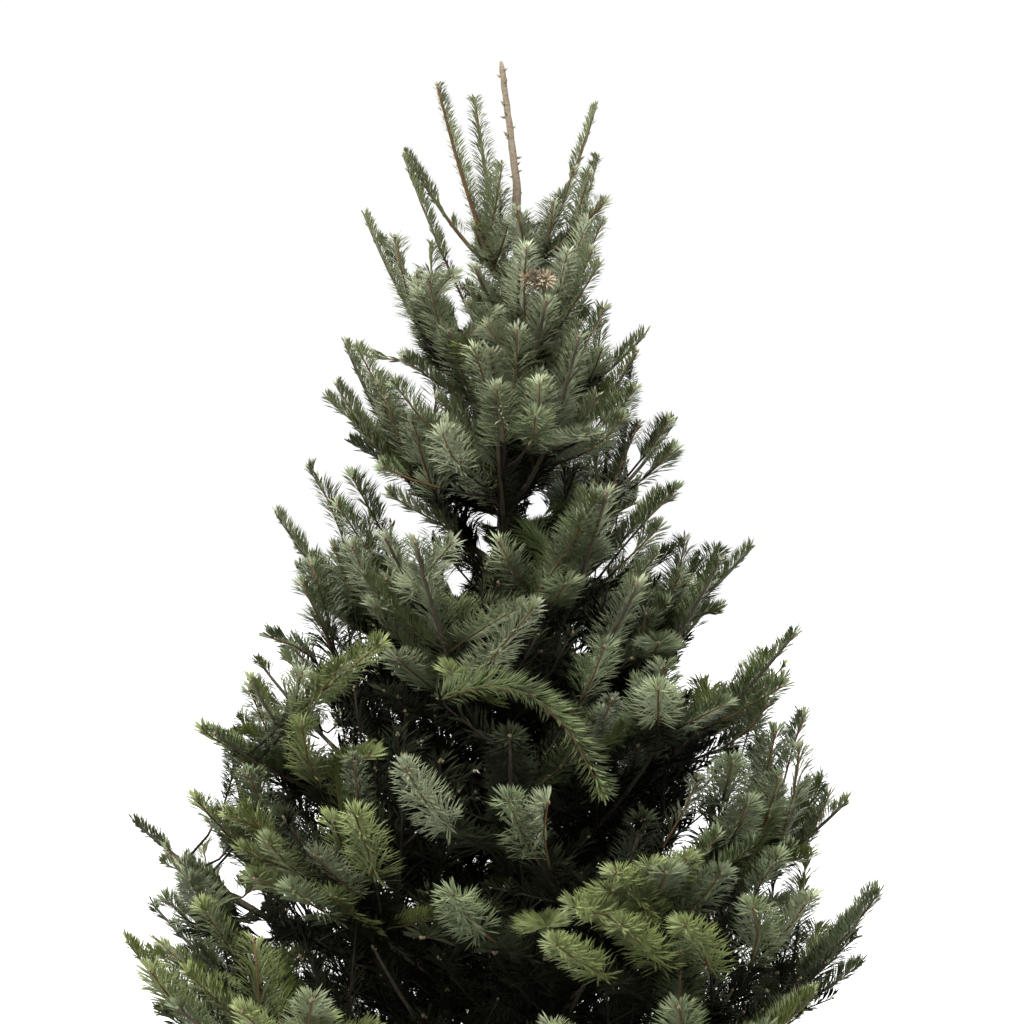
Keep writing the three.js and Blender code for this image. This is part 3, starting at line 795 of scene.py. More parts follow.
def needles_on(shoot, settings):
    """Points of the needles of a shoot, as an array of root, tip, left and right corners."""
    random = np.random.default_rng(shoot.seed)
    size = length_of(shoot.line)
    first, last = shoot.span
    deep = shoot.tint == "deep"
    density = shoot.density * (DEEP_DENSITY if deep else 1)
    count = max(FEWEST_NEEDLES, round(size * (last - first) * settings.needles_per_metre * density))
    t = first + (last - first) * (np.arange(count) + random.random(count)) / count
    full = shoot.fullness
    gathered = (random.random(count) < mix(*NEEDLE_TIP_SHARE, full)) & (last == 1)
    t = np.where(gathered, 1 - random.random(count) * NEEDLE_TIP_REACH / size, t)
    forward = np.where(gathered, 1 - np.sqrt(random.random(count)), 0)
    along, side, up = frame_on(shoot.line, t, shoot.roll * NEEDLE_ROLL)
    hand = np.where(np.arange(count) % 2, 1.0, -1.0)
    crowded = random.random(count) ** NEEDLE_CROWDING
    turn = np.radians(mix(*NEEDLE_ROUND, full) * crowded) * hand
    radial = turned(up, side, turn)
    sideways = np.sin(np.minimum(np.abs(turn), math.pi / 2))
    lean = mix(mix(*NEEDLE_TOP_LEAN, full), mix(*NEEDLE_SIDE_LEAN, full), sideways)
    lean = np.radians(lean + random.normal(0, NEEDLE_LEAN_CHANCE, count)) * (1 - forward)
    jitter = random.normal(0, NEEDLE_JITTER, (count, 3))
    out = unit(turned(along, radial, lean) + up * mix(*NEEDLE_UPSWEEP, full) + jitter)
    small = look_up(SMALL_NEEDLES, shoot.line[2][2])
    below = np.clip(-np.cos(turn), 0, 1)
    small = small * (OLD_LENGTH if shoot.tint in ("old", "dry") else 1)
    blunt = np.clip((t - NEEDLE_BLUNT_FROM) / (1 - NEEDLE_BLUNT_FROM), 0, 1) ** 2
    small = small * (1 - NEEDLE_BLUNT * blunt)
    long = settings.needle_length * small * mix(1, NEEDLE_TIP_LENGTH, forward)
    long = long * mix(mix(*NEEDLE_TOP_SHARE, full), 1, sideways) * mix(1, mix(*NEEDLE_LOWER, full), below)
    long = long * (1 + NEEDLE_LENGTH_CHANCE * random.normal(0, 1, count))
    across = unit(np.cross(out, radial + jitter))
    face = np.cross(across, out)
    radius = mix(*(shoot.radii or TWIG_RADII), t) * NEEDLE_SUNK
    root = point_on(shoot.line, t) + radial * radius[:, None]
    tip = root + out * long[:, None]
    middle = root + out * (long * NEEDLE_WIDEST)[:, None] - face * settings.needle_thickness
    half = across * settings.needle_width * (DEEP_WIDTH if deep else 1) / 2
    corners = np.stack((root, tip, middle - half, middle + half), axis=1)
    return corners[~in_gap(middle, deep)]


BUD_SIDES = 5
BUD_BELLY = 0.4
BUD_TURN = (0.31, 0.87, 0.38)


def bud_arrays(place, along, size, width):
    """Points and triangles of a small pointed bud."""
    side = unit(np.cross(along, BUD_TURN))
    ring = place + along * size * BUD_BELLY
    ring = ring + width * turned(side, np.cross(along, side), around(BUD_SIDES))
    return np.vstack((ring, place, place + along * size)), skin_faces(1, BUD_SIDES)


# Materials


class Value:
    """A node's output. An expression on it adds the Math nodes that it needs."""

    def __init__(self, finish, socket):
        self.finish = finish
        self.socket = socket

    def maths(self, operation, *terms):
        """A Math node on some terms."""
        return self.finish.node("ShaderNodeMath", {"operation": operation}, dict(enumerate(terms)))

    def __add__(self, other):
        return self.maths("ADD", self, other)

    def __radd__(self, other):
        return self.maths("ADD", other, self)

    def __sub__(self, other):
        return self.maths("SUBTRACT", self, other)

    def __rsub__(self, other):
        return self.maths("SUBTRACT", other, self)

    def __mul__(self, other):
        return self.maths("MULTIPLY", self, other)

    def __rmul__(self, other):
        return self.maths("MULTIPLY", other, self)


class Finish:
    """The nodes of one material, or of the sky."""

    def __init__(self, owner, shader="Principled BSDF"):
        self.owner = owner
        self.tree = owner.node_tree
        self.shader = self.tree.nodes[shader]

    def node(self, kind, settings=None, sockets=None, output=0):
        """Adds a node of a type, with its settings and the values or links of its sockets."""
        made = self.tree.nodes.new(kind)
        for name, value in (settings or {}).items():
            setattr(made, name, value)
        for name, value in (sockets or {}).items():
            self.plug(made.inputs[name], value)
        return Value(self, made.outputs[output])

    def plug(self, socket, value):
        """Links a value to a socket, or sets the socket."""
        if isinstance(value, Value):
            self.tree.links.new(value.socket, socket)
        elif hasattr(value, "__len__") and len(value) == 3 and socket.type == "RGBA":
            socket.default_value = (*value, 1)
        else:
            socket.default_value = value

    def here(self):
        """The object's own coordinates."""
        return self.node("ShaderNodeTexCoord", output=3)

    def place(self, stretch=(1, 1, 1)):
        """Those coordinates, stretched."""
        return self.node("ShaderNodeMapping", None, {"Vector": self.here(), "Scale": stretch})

    def height(self):
        """How high a point is."""
        return self.node("ShaderNodeSeparateXYZ", None, {0: self.here()}, 2)

    def noise(self, scale, detail=2.0, stretch=(1, 1, 1), roughness=0.5):
        """Soft noise from 0 to 1."""
        where = {"Vector": self.place(stretch), "Scale": scale}
        return self.node("ShaderNodeTexNoise", None, {**where, "Detail": detail, "Roughness": roughness})

    def between(self, value, low, high):
        """A value's place between two, kept from 0 to 1."""
        return self.node("ShaderNodeMapRange", None, {"Value": value, "From Min": low, "From Max": high})

    def blend(self, first, second, mask):
        """One colour turning into another."""
        return self.node("ShaderNodeMix", {"data_type": "RGBA"}, {0: mask, 6: first, 7: second}, 2)

    def shades(self, colour, low, high, mask):
        """A colour, times a low factor where a mask is 0 and a high one where it is 1."""
        return self.blend(shade(colour, low), shade(colour, high), mask)

    def bump(self, height, distance, strength):
        """A surface raised by a height."""
        sockets = {"Height": height, "Distance": distance, "Strength": strength}
        return self.node("ShaderNodeBump", None, sockets)

    def set(self, **sockets):
        """Sets or links the shader's sockets, named with underscores for spaces."""
        for name, value in sockets.items():
            self.plug(self.shader.inputs[name.replace("_", " ")], value)
        return self.owner


def new_finish(name):
    """An empty material, ready for its nodes."""
    material = bpy.data.materials.new(name)
    material.use_nodes = True
    return Finish(material)


def shade(colour, factor):
    """A colour made lighter or darker."""
    return tuple(min(1.0, part * factor) for part in colour[:3])


LICHEN = (0.27, 0.3, 0.24)
LEADER_BARK = (1.5, 1.66)


def bark_material(name, colour, leader, furrow, crust):
    """Grey-brown bark with lumps, scars and some lichen, turning to tan on the young leader."""
    finish = new_finish(name)
    plates = finish.noise(70, 5, (1, 1, 0.35), 0.6)
    scars = finish.noise(160, 3, (1, 1, 3.2), 0.5)
    lichen = finish.between(finish.noise(24, 4), 0.56, 0.72)
    tone = finish.shades(colour, 0.5, 1.35, finish.between(plates, 0.3, 0.7))
    tone = finish.blend(tone, shade(colour, 0.42), finish.between(scars, 0.6, 0.72) * 0.7)
    tone = finish.blend(tone, LICHEN, lichen * crust)
    young = finish.shades(leader, 0.7, 1.2, finish.between(scars, 0.35, 0.65))
    tone = finish.blend(tone, young, finish.between(finish.height(), *LEADER_BARK))
    rough = finish.between(plates, 0.2, 0.8) * 0.2 + 0.72
    relief = plates * 0.7 + scars * 0.3
    grooves = finish.bump(relief, furrow, 0.8)
    return finish.set(Base_Color=tone, Roughness=rough, Specular_IOR_Level=0.2, Normal=grooves)


def twig_material(name, colour):
    """Thin young bark, red-brown to grey, with needle scars."""
    finish = new_finish(name)
    scars = finish.noise(420)
    tone = finish.shades(colour, 0.65, 1.3, finish.between(finish.noise(35, 3), 0.35, 0.65))
    tone = finish.blend(tone, shade(colour, 0.4), finish.between(scars, 0.56, 0.66) * 0.6)
    marks = finish.bump(scars, 0.0006, 0.6)
    return finish.set(Base_Color=tone, Roughness=0.8, Specular_IOR_Level=0.15, Normal=marks)


def needle_material(name, colour, roughness, sheen):
    """A waxy needle, a little lighter here and darker there."""
    finish = new_finish(name)
    patch = finish.noise(22, 2)
    single = finish.noise(310, 1)
    tone = finish.shades(colour, 0.64, 1.36, finish.between(patch * 0.8 + single * 0.2, 0.36, 0.64))
    return finish.set(Base_Color=tone, Roughness=roughness, Specular_IOR_Level=sheen)


def bud_material(name, colour):
    """Resinous buds, tan with darker scales."""
    finish = new_finish(name)
    scales = finish.noise(700, 2)
    tone = finish.shades(colour, 0.55, 1.25, finish.between(scales, 0.35, 0.65))
    return finish.set(Base_Color=tone, Roughness=0.55, Normal=finish.bump(scales, 0.0005, 0.5))


GRAIN = 0.06


def timber_material(name, colour, axis):
    """Sawn softwood with its grain along one axis, a knot here and there and saw marks."""
    finish = new_finish(name)
    along = tuple(GRAIN if i == axis else 1.0 for i in range(3))
    rings = (finish.noise(26, 2, along) + finish.noise(9, 3, along) * 0.8) * 34
    rings = rings.maths("SINE", rings) * 0.5 + 0.5
    fibre = finish.noise(240, 3, along, 0.6)
    knots = finish.node("ShaderNodeTexVoronoi", None, {"Vector": finish.place(), "Scale": 6.5})
    knot = 1 - finish.between(knots, 0.05, 0.085)
    tone = finish.shades(colour, 0.78, 1.12, rings)
    tone = finish.blend(tone, shade(colour, 0.72), finish.between(fibre, 0.5, 0.75) * 0.5)
    tone = finish.blend(tone, shade(colour, 0.3), knot * 0.85)
    relief = fibre * 0.7 + finish.noise(420, 1) * 0.3
    rough = finish.between(fibre, 0.2, 0.8) * 0.15 + 0.66
    return finish.set(Base_Color=tone, Roughness=rough, Normal=finish.bump(relief, 0.0008, 0.6))


def nail_material(name, colour):
    """Galvanised steel, dulled in spots."""
    finish = new_finish(name)
    spots = finish.noise(600, 3)
    dulled = finish.between(spots, 0.3, 0.7)
    tone = finish.shades(colour, 0.6, 1.1, dulled)
    return finish.set(Base_Color=tone, Roughness=dulled * 0.25 + 0.35, Metallic=0.9)


def floor_material(name, colour):
    """Pale matt floor."""
    finish = new_finish(name)
    return finish.set(Base_Color=finish.shades(colour, 0.985, 1, finish.noise(1.5)), Roughness=0.9)


# Sizes and colours that a user would change


def length_property(name, description, default):
    """A length in metres."""
    return FloatProperty(name=name, description=description, default=default, min=0.0, unit="LENGTH")


def colour_property(name, description, default):
    """A colour."""
    return FloatVectorProperty(
        name=name, description=description, default=default, size=3, min=0.0, max=1.0, subtype="COLOR"
    )


class FirGrowth(bpy.types.PropertyGroup):
    """Sizes of what grows on the tree."""

    needle_length: length_property("Needle Length", "Length of the longest needles", 0.036)
    needle_width: length_property("Needle Width", "Width of a needle where it is widest", 0.0023)
    needle_thickness: length_property("Needle Thickness", "Height of a needle's ridge", 0.0006)
    needles_per_metre: IntProperty(
        name="Needles per Metre", description="Needles along a metre of young shoot", default=2600, min=1
    )
    year: length_property("Year's Growth", "What a twig grows in a year", 0.12)
    bud_length: length_property("Bud Length", "Length of a bud at a shoot's tip", 0.006)
    bark_relief: length_property("Bark Relief", "Height of the lumps in the bark", 0.0016)


class FirColours(bpy.types.PropertyGroup):
    """Colours of the tree."""

    bark: colour_property("Bark", "Old bark of trunk and boughs", (0.045, 0.034, 0.023))
    leader: colour_property("Leader", "Young bark of the bare leader", (0.125, 0.1, 0.07))
    twig: colour_property("Twig", "Bark of the young twigs", (0.065, 0.037, 0.015))
    # Nearly black: older bark's own darker colour, and painted shade on the inner and lower twigs
    old_twig: colour_property("Old Twig", "Bark of the older and inner twigs", (0.014, 0.01, 0.006))
    bud: colour_property("Bud", "Buds at the tips", (0.12, 0.09, 0.045))
    # Paler than silver: waxy needles, lightened further as a painted highlight on the top plumes
    pale: colour_property("Pale", "The palest needles, near the top", (0.29, 0.32, 0.21))
    silver: colour_property("Silver", "Waxy grey-green needles", (0.15, 0.17, 0.083))
    sage: colour_property("Sage", "Pale green needles", (0.065, 0.083, 0.028))
    green: colour_property("Green", "Plain green needles", (0.039, 0.054, 0.0145))
    fresh: colour_property("Fresh", "Yellow-green needles", (0.08, 0.098, 0.024))
    # Older needles behind the young shoots: darker with age, and darker still as painted shade
    old: colour_property("Old", "Older needles behind the young shoots", (0.02, 0.027, 0.009))
    # Near-black needles: painted shade inside the crown and in its hollows
    deep: colour_property("Deep", "Old needles near the trunk", (0.005, 0.006, 0.0025))
    dry: colour_property("Dry", "Dried needles", (0.27, 0.215, 0.14))
    underside: colour_property("Underside", "Wax bands under the needles", (0.105, 0.122, 0.07))


class FirStand(bpy.types.PropertyGroup):
    """Finish of the wooden cross."""

    timber: colour_property("Timber", "Sawn softwood", (0.56, 0.39, 0.2))
    steel: colour_property("Steel", "Nail heads", (0.45, 0.45, 0.46))
    edge: length_property("Edge", "How far the sawn edges are worn", 0.0022)
    nail_radius: length_property("Nail Radius", "Radius of a nail's head", 0.0042)


class FirStage(bpy.types.PropertyGroup):
    """Floor, light and camera."""

    floor: colour_property("Floor", "Pale floor", (0.37, 0.37, 0.37))
    eye_height: length_property("Eye Height", "Height of the camera", EYE[2])
    distance: length_property("Distance", "From the camera to the trunk", -EYE[1])
    frame_width: length_property("Frame Width", "Width of the picture at the trunk", 1.28)
    frame_middle: length_property("Frame Middle", "Height at the middle of the picture", 1.286)


# Operators


SHARP = math.radians(40)


def start():
    """Leaves nothing selected."""
    if bpy.context.object and bpy.context.object.mode != "OBJECT":
        bpy.ops.object.mode_set(mode="OBJECT")
    bpy.ops.object.select_all(action="DESELECT")


def pick(piece):
    """Selects one piece alone."""
    start()
    piece.select_set(True)
    bpy.context.view_layer.objects.active = piece


def settle(piece):
    """Moves a piece's place into its mesh."""
    pick(piece)
    bpy.ops.object.transform_apply(location=True, rotation=True, scale=True)


def round_edges(piece, width, segments):
    """Rounds a piece's sharp edges."""
    bevel = piece.modifiers.new("worn edges", "BEVEL")
    bevel.width = width
    bevel.segments = segments
    bevel.limit_method = "ANGLE"
    bevel.angle_limit = SHARP
    pick(piece)
    bpy.ops.object.modifier_apply(modifier=bevel.name)


# Noise of the bark's lumps: how much each finer layer fades, how much finer it is, and layers
LUMP_NOISE = (1.0, 2.0, 4)


def lumps(points, scale, stretch):
    """Soft lumps from -1 to 1 at some points."""
    factors = (scale, scale, scale * stretch)
    return np.array([noise.fractal(Vector(np.multiply(p, factors)), *LUMP_NOISE) for p in points])


TRUNK_SIDES = 40
TRUNK_STEP = 0.011
COLLAR_RISE = 0.0035
COLLAR_HEIGHT = 0.016
LEADER_FOOT = 1.6
LEADER_FADE = 0.05
LEADER_KNOBS = 0.0018
# Lumps in the bark, as the scale of their noise and how it is stretched along the trunk
PLATES = (55, 0.4)
CRACKS = (170, 1.4)
CRACK_SHARE = 0.5
KNOBS = (110, 0.8)
FLAT_END = 0.001
LEVEL_FACE = 0.9
NEARLY_NONE = 1e-9


class FIR_OT_trunk(bpy.types.Operator):
    """Extrude the trunk from its flat butt to the leader and raise its bark"""

    bl_idname = "fir.trunk"
    bl_label = "Trunk"

    def execute(self, context):
        growth, colours = context.scene.fir_growth, context.scene.fir_colours
        first = TRUNK_RADII[0][0]
        steps = round((TREE_TOP - first) / TRUNK_STEP)
        heights = [mix(first, TREE_TOP, i / steps) for i in range(steps + 1)]
        start()
        bpy.ops.mesh.primitive_circle_add(
            vertices=TRUNK_SIDES, radius=TRUNK_RADII[0][1], fill_type="NGON", location=trunk_point(first)
        )
        trunk = context.object
        trunk.name = "trunk_bark"
        bpy.ops.object.transform_apply(location=True)
        bpy.ops.object.mode_set(mode="EDIT")
        bpy.ops.mesh.select_all(action="SELECT")
        for below, above in itertools.pairwise(heights):
            move = trunk_point(above) - trunk_point(below)
            bpy.ops.mesh.extrude_region_move(TRANSFORM_OT_translate={"value": move})
            ratio = look_up(TRUNK_RADII, above) / look_up(TRUNK_RADII, below)
            bpy.ops.transform.resize(value=(ratio, ratio, 1), center_override=trunk_point(above))
        bpy.ops.mesh.select_all(action="SELECT")
        bpy.ops.mesh.normals_make_consistent(inside=False)
        bpy.ops.object.mode_set(mode="OBJECT")
        self.raise_bark(trunk, growth.bark_relief)
        for polygon in trunk.data.polygons:
            polygon.use_smooth = abs(polygon.normal.z) < LEVEL_FACE
        bark = bark_material("bark", colours.bark, colours.leader, furrow=0.003, crust=0.35)
        trunk.data.materials.append(bark)
        settle(trunk)
        place_piece(trunk, "bark", "trunk")
        return {"FINISHED"}

    def raise_bark(self, trunk, relief):
        """Moves the trunk's skin in and out, and swells it where a whorl leaves it."""
        mesh = trunk.data
        points = np.array([vertex.co for vertex in mesh.vertices])
        middles = np.array([trunk_point(point[2]) for point in points])
        spokes = points - middles
        radii = np.linalg.norm(spokes, axis=1)
        share = radii / TRUNK_RADII[0][1]
        raised = relief * np.sqrt(share) * lumps(points, *PLATES)
        raised += relief * CRACK_SHARE * np.sqrt(share) * lumps(points, *CRACKS)
        for whorl in WHORLS:
            near = np.exp(-(((points[:, 2] - whorl.height) / COLLAR_HEIGHT) ** 2))
            raised += COLLAR_RISE * share * near
        young = np.clip((points[:, 2] - LEADER_FOOT) / LEADER_FADE, 0, 1)
        raised += LEADER_KNOBS * np.maximum(0, lumps(points, *KNOBS)) * young
        raised *= (points[:, 2] > TRUNK_RADII[0][0] + FLAT_END) & (points[:, 2] < TREE_TOP - FLAT_END)
        moved = points + unit(spokes + NEARLY_NONE) * raised[:, None]
        mesh.vertices.foreach_set("co", moved.astype(np.float32).ravel())
        mesh.update()


BOUGH_SIDES = 10
BOUGH_STEP = 0.011
FEWEST_RINGS = 8
BOUGH_LUMPS = (1.1, 1.0)
BOUGH_RELIEF = 0.16
LUMPS_A_METRE = 60
LUMPS_APART = 10


class FIR_OT_boughs(bpy.types.Operator):
    """Grow the boughs, each one tapering limb from the trunk to its tip"""

    bl_idname = "fir.boughs"
    bl_label = "Boughs"

    def execute(self, context):
        growth, colours = context.scene.fir_growth, context.scene.fir_colours
        parts = []
        for line, size in grow(growth.year)[0]:
            ts = np.linspace(0, 1, max(FEWEST_RINGS, round(size / BOUGH_STEP)))
            bumps = self.bumps(line, ts, size)
            parts.append(tube_arrays(line, ts, limb_radius(size, ts), BOUGH_SIDES, bumps))
        points, faces = joined(parts)
        bark = bark_material("bough_bark", colours.bark, colours.twig, furrow=0.002, crust=0.08)
        boughs = mesh_piece("boughs", points, faces, [bark], smooth=True)
        place_piece(boughs, "bark", *nodes_named("bough_"))
        return {"FINISHED"}

    def bumps(self, line, ts, size):
        """How far the bark of a bough stands out, ring by ring, as a share of its radius."""
        ways = [(math.cos(turn), math.sin(turn)) for turn in around(BOUGH_SIDES)]
        places = np.array([(*way, t * size * LUMPS_A_METRE) for t in ts for way in ways])
        raised = lumps(places + line[2] * LUMPS_APART, *BOUGH_LUMPS)
        return 1 + BOUGH_RELIEF * raised.reshape(len(ts), BOUGH_SIDES)


TWIG_SIDES = 5
TWIG_RINGS = 5


class FIR_OT_twigs(bpy.types.Operator):
    """Grow the bark of every twig and side shoot"""

    bl_idname = "fir.twigs"
    bl_label = "Twigs"

    def execute(self, context):
        growth, colours = context.scene.fir_growth, context.scene.fir_colours
        ts = np.linspace(0, 1, TWIG_RINGS)
        shoots = [shoot for shoot in grow(growth.year)[1] if shoot.radii in (TWIG_RADII, SIDE_RADII)]
        parts = [tube_arrays(shoot.line, ts, mix(*shoot.radii, ts), TWIG_SIDES) for shoot in shoots]
        points, faces = joined(parts)
        segments = np.arange(TWIG_RINGS - 1)
        walls = np.repeat(segments, TWIG_SIDES)
        ends = np.repeat(segments[[0, -1]], TWIG_SIDES)
        ages = (np.concatenate((walls, walls, ends)) + 0.5) / len(segments)
        # The older part of each twig below the set height gets the nearly black bark, as older bark's
        # darker colour and painted shade; painted-shade shoots get it all along
        shaded = np.concatenate([
            (ages < shoot.span[0]) & (shoot.line[0][2] < SHADE_PAINTED_BELOW) | (shoot.tint == "deep")
            for shoot in shoots
        ])
        materials = [
            twig_material("young_bark", colours.twig),
            twig_material("old_twig_bark", colours.old_twig),
        ]
        twigs = mesh_piece("twigs", points, faces, materials, shaded, smooth=True)
        place_piece(twigs, "bark")
        return {"FINISHED"}


NEEDLE_SHEEN = 0.3
SHADED_SHEEN = 0.02
UPPER_ROUGHNESS = 0.5
WAXED_ROUGHNESS = 0.65


class FIR_OT_needles(bpy.types.Operator):
    """Grow the needles, a piece or more for each colour, in place of the plain masses"""

    bl_idname = "fir.needles"
    bl_label = "Needles"

    def execute(self, context):
        growth, colours = context.scene.fir_growth, context.scene.fir_colours
        shoots = grow(growth.year)[1]
        masses = nodes_named("foliage_")
        for tint in WAX:
            grown = [needles_on(shoot, growth) for shoot in shoots if shoot.tint == tint]
            if not grown:
                continue
            corners = np.concatenate(grown)
            sheen = SHADED_SHEEN if tint == "deep" else NEEDLE_SHEEN
            colour = getattr(colours, tint)
            waxed = [mix(*pair, WAX[tint]) for pair in zip(colour, colours.underside)]
            upper = needle_material(f"needles_{tint}", colour, UPPER_ROUGHNESS, sheen)
            under = needle_material(f"needles_{tint}_under", waxed, WAXED_ROUGHNESS, sheen)
            for i in range(0, len(corners), NEEDLES_A_PIECE):
                some = corners[i:i + NEEDLES_A_PIECE]
                starts = np.arange(len(some))[:, None, None] * some.shape[1]
                faces = (NEEDLE_FACES[None] + starts).reshape(-1, 3)
                sides = np.tile(NEEDLE_SIDES, len(some))
                name = f"needles_{tint}_{i // NEEDLES_A_PIECE + 1}"
                piece = mesh_piece(name, some.reshape(-1, 3), faces, [upper, under], sides)
                place_piece(piece, "foliage", *masses)
                masses = []
        return {"FINISHED"}


# Buds: chance in their size, width as a share of length, and the side buds' way and place
BUD_CHANCE = (0.8, 1.2)
BUD_WIDTH = 0.36
SIDE_BUD_CHANCE = 0.6
SIDE_BUD_WAY = (0.7, 0.8, 0.2)
SIDE_BUD_SIZES = (0.8, 0.28)
SIDE_BUD_BACK = 0.003
# Stubs on the bare leader
STUB_COUNT = 26
STUB_LENGTHS = (0.006, 0.012)
STUB_WIDTH = 0.22
STUB_RISE = (0.2, 1.2)
STUB_SUNK = 0.6
STUB_FREE_TIP = 0.004


class FIR_OT_buds(bpy.types.Operator):
    """Set the buds at the tips of the shoots and on the bare leader"""

    bl_idname = "fir.buds"
    bl_label = "Buds"

    def execute(self, context):
        growth, colours = context.scene.fir_growth, context.scene.fir_colours
        chance = dice(BUD_SEED)
        parts = []
        for shoot in grow(growth.year)[1]:
            if shoot.span[1] < 1:
                continue
            tip = point_on(shoot.line, 1)
            along, side, up = frame_on(shoot.line, 1)
            size = growth.bud_length * mix(*BUD_CHANCE, next(chance))
            parts.append(bud_arrays(tip, along, size, size * BUD_WIDTH))
            for hand in (-1, 1):
                if next(chance) < SIDE_BUD_CHANCE:
                    forward, sideways, upwards = SIDE_BUD_WAY
                    out = unit(along * forward + side * hand * sideways + up * upwards)
                    long, wide = (size * share for share in SIDE_BUD_SIZES)
                    parts.append(bud_arrays(tip - along * SIDE_BUD_BACK, out, long, wide))
        for i in range(STUB_COUNT):
            height = mix(LEADER_FOOT, TREE_TOP - STUB_FREE_TIP, (i + next(chance)) / STUB_COUNT)
            turn = 2 * math.pi * next(chance)
            out = unit(np.array((math.cos(turn), math.sin(turn), mix(*STUB_RISE, next(chance)))))
            place = trunk_point(height) + out * look_up(TRUNK_RADII, height) * STUB_SUNK
            size = mix(*STUB_LENGTHS, next(chance))
            parts.append(bud_arrays(place, out, size, size * STUB_WIDTH))
        points, faces = joined(parts)
        buds = mesh_piece("buds", points, faces, [bud_material("buds", colours.bud)])
        place_piece(buds, "bark")
        return {"FINISHED"}


MERGED_WITHIN = 1e-5
FLAT_WITHIN = math.radians(1)


def merged_copy(node, name):
    """A copy of a solid with its loose triangles merged into whole faces."""
    copy = add_object(name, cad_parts[node].data.copy())
    copy.data.materials.clear()
    made = bmesh.new()
    made.from_mesh(copy.data)
    bmesh.ops.remove_doubles(made, verts=made.verts, dist=MERGED_WITHIN)
    bmesh.ops.dissolve_limit(made, angle_limit=FLAT_WITHIN, verts=made.verts, edges=made.edges)
    bmesh.ops.recalc_face_normals(made, faces=made.faces)
    made.to_mesh(copy.data)
    made.free()
    return copy


class FIR_OT_stand(bpy.types.Operator):
    """Round the sawn edges of the cross and its braces and give them their grain"""

    bl_idname = "fir.stand"
    bl_label = "Stand"

    def execute(self, context):
        stand = context.scene.fir_stand
        grains = {axis: timber_material(f"timber_{'xyz'[axis]}", stand.timber, axis) for axis in (0, 1)}
        for node in nodes_named("stand_"):
            piece = merged_copy(node, node.replace("stand_", "sawn_"))
            round_edges(piece, stand.edge, segments=3)
            low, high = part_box(node)
            piece.data.materials.append(grains[0 if high.x - low.x > high.y - low.y else 1])
            place_piece(piece, "timber", node)
        return {"FINISHED"}


# The slope of a brace's outer face, as distance from the middle of the cross and height
BRACE_FOOT = (0.172, 0.0453)
BRACE_HEAD = (0.0, 0.205)
# Each brace's nails: share of the way from its foot to its head, and how far to the side
NAIL_PLACES = ((0.09, -0.006), (0.2, 0.009), (0.66, -0.006))
NAIL_RISE = 0.0012
NAIL_DEPTH = NAIL_RISE * 3
NAIL_SIDES = 14


class FIR_OT_nails(bpy.types.Operator):
    """Drive the nails that hold the braces to the beams and to the trunk"""

    bl_idname = "fir.nails"
    bl_label = "Nails"

    def execute(self, context):
        stand = context.scene.fir_stand
        foot, head = np.array(BRACE_FOOT), np.array(BRACE_HEAD)
        slope = math.atan2(head[1] - foot[1], foot[0] - head[0])
        start()
        bpy.ops.mesh.primitive_cylinder_add(
            vertices=NAIL_SIDES, radius=stand.nail_radius, depth=NAIL_DEPTH
        )
        model = context.object
        round_edges(model, NAIL_RISE / 2, segments=2)
        lean = Vector((math.sin(slope), 0, math.cos(slope))).to_track_quat("Z", "Y").to_matrix().to_4x4()
        made = bmesh.new()
        for quarter, (share, sideways) in itertools.product(range(4), NAIL_PLACES):
            distance, height = foot + (head - foot) * share
            place = Matrix.Translation((distance, sideways, height)) @ lean
            nail = model.data.copy()
            nail.transform(Matrix.Rotation(quarter * math.pi / 2, 4, "Z") @ place)
            made.from_mesh(nail)
            bpy.data.meshes.remove(nail)
        mesh = bpy.data.meshes.new("nails")
        made.to_mesh(mesh)
        made.free()
        bpy.data.objects.remove(model)
        mesh.materials.append(nail_material("nail_heads", stand.steel))
        place_piece(add_object("nails", mesh), "timber")
        return {"FINISHED"}


# Lamps: name, place, width and power
LIGHTS = (
    ("key", (-1.0, -1.7, 3.3), 1.2, 110),
    ("rim", (0.6, 3.0, 3.8), 2.6, 60),
)
LIGHT_AIM = Vector((0, 0, 1.4))
# How bright the sky is to the camera, from the side and from above, and where it turns bright
SKY_SEEN = 1.02
SKY_SIDE = 0.4
SKY_TOP = 7.6
SKY_RISE = (0.3, 0.95)
FLOOR_RADIUS = 40
FLOOR_SIDES = 96
SENSOR_WIDTH = 36
VIEW_END = 200


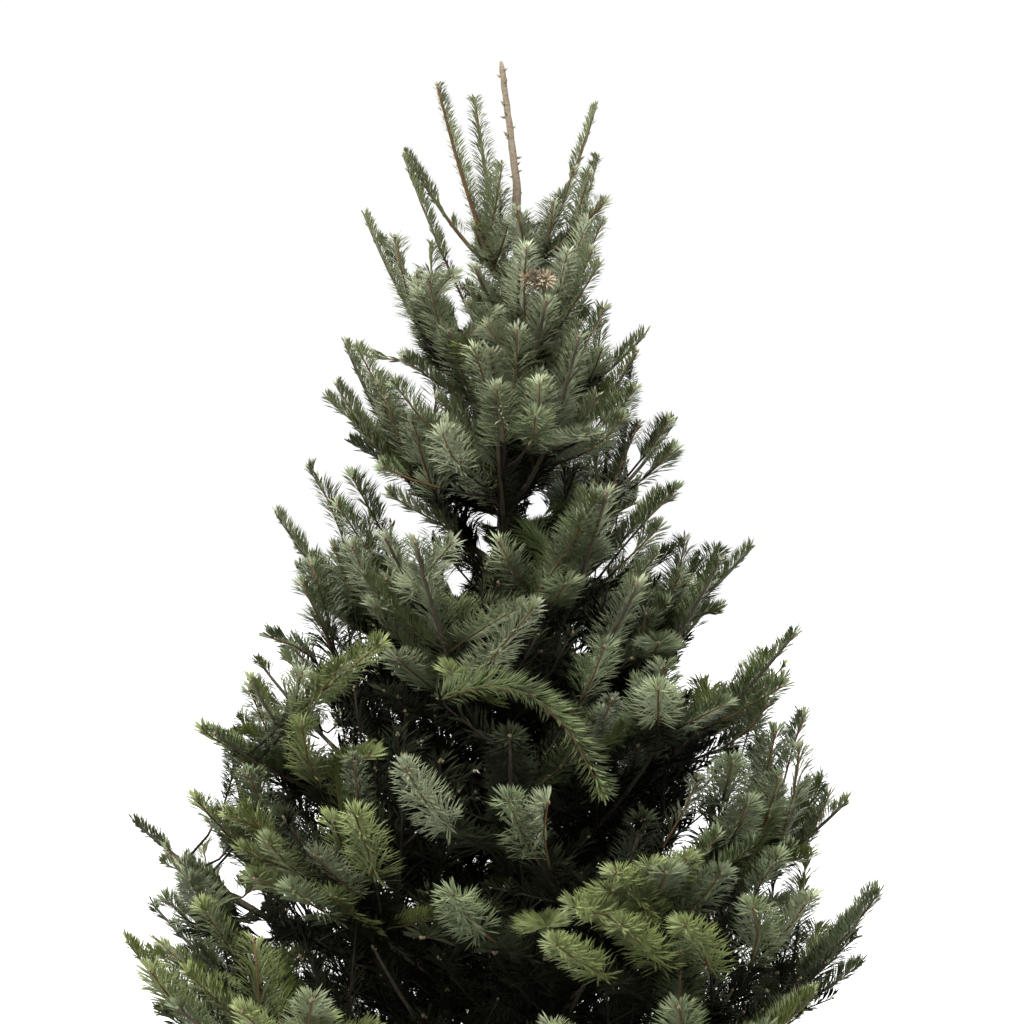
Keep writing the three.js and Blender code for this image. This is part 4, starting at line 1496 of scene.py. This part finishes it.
class FIR_OT_stage(bpy.types.Operator):
    """Lay the pale floor, hang the soft lights and stand the camera where the picture was taken"""

    bl_idname = "fir.stage"
    bl_label = "Stage"

    def execute(self, context):
        stage = context.scene.fir_stage
        start()
        bpy.ops.mesh.primitive_circle_add(vertices=FLOOR_SIDES, radius=FLOOR_RADIUS, fill_type="NGON")
        floor = context.object
        floor.name = "floor"
        floor.data.materials.append(floor_material("floor", stage.floor))
        floor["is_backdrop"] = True
        for name, place, size, power in LIGHTS:
            lamp = bpy.data.lights.new(name, "AREA")
            lamp.shape = "DISK"
            lamp.size = size
            lamp.energy = power
            light = add_object(name, lamp)
            light.location = place
            light.rotation_euler = (LIGHT_AIM - Vector(place)).to_track_quat("-Z", "Y").to_euler()
        self.hang_sky(context.scene)
        camera = add_object("camera", bpy.data.cameras.new("camera"))
        camera.location = (EYE[0], -stage.distance, stage.eye_height)
        camera.rotation_euler = (math.pi / 2, 0, 0)
        camera.data.sensor_width = SENSOR_WIDTH
        camera.data.lens = SENSOR_WIDTH * stage.distance / stage.frame_width
        camera.data.shift_y = (stage.frame_middle - stage.eye_height) / stage.frame_width
        camera.data.clip_end = VIEW_END
        context.scene.camera = camera
        context.scene.view_settings.view_transform = "Standard"
        context.scene.view_settings.look = "None"
        return {"FINISHED"}

    def hang_sky(self, scene):
        """Soft light from above and a little from all round, before plain white."""
        scene.world = bpy.data.worlds.new("studio")
        scene.world.use_nodes = True
        sky = Finish(scene.world, "Background")
        way = sky.node("ShaderNodeTexCoord")
        rise = sky.node("ShaderNodeSeparateXYZ", None, {0: way}, 2)
        light = sky.between(rise, *SKY_RISE) * (SKY_TOP - SKY_SIDE) + SKY_SIDE
        straight = sky.node("ShaderNodeLightPath")
        sky.set(Color=(1, 1, 1), Strength=light + straight * (SKY_SEEN - light))


OPERATORS = (
    FIR_OT_trunk,
    FIR_OT_boughs,
    FIR_OT_twigs,
    FIR_OT_needles,
    FIR_OT_buds,
    FIR_OT_stand,
    FIR_OT_nails,
    FIR_OT_stage,
)
GROUPS = {
    "fir_growth": FirGrowth,
    "fir_colours": FirColours,
    "fir_stand": FirStand,
    "fir_stage": FirStage,
}


class FIR_PT_tree(bpy.types.Panel):
    """Lists the tree's sizes and colours and the steps that make it"""

    bl_label = "Fir"
    bl_idname = "FIR_PT_tree"
    bl_space_type = "VIEW_3D"
    bl_region_type = "UI"
    bl_category = "Fir"

    def draw(self, context):
        for name, group in GROUPS.items():
            box = self.layout.box()
            for key in group.__annotations__:
                box.prop(getattr(context.scene, name), key)
        for operator in OPERATORS:
            self.layout.operator(operator.bl_idname)


def register():
    """Adds the classes and the scene's settings."""
    for name, group in GROUPS.items():
        bpy.utils.register_class(group)
        setattr(bpy.types.Scene, name, PointerProperty(type=group))
    for each in (*OPERATORS, FIR_PT_tree):
        bpy.utils.register_class(each)


def unregister():
    """Takes them away again."""
    for each in (FIR_PT_tree, *reversed(OPERATORS)):
        bpy.utils.unregister_class(each)
    for name, group in reversed(GROUPS.items()):
        delattr(bpy.types.Scene, name)
        bpy.utils.unregister_class(group)


def main():
    """Makes the tree and its stage."""
    register()
    for operator in OPERATORS:
        prefix, name = operator.bl_idname.split(".")
        getattr(getattr(bpy.ops, prefix), name)()
    boxes = {"cad": CAD_BOX, "visual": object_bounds()}
    {key: [list(corner) for corner in box] for key, box in boxes.items()}


if __name__ == "__main__":
    main()
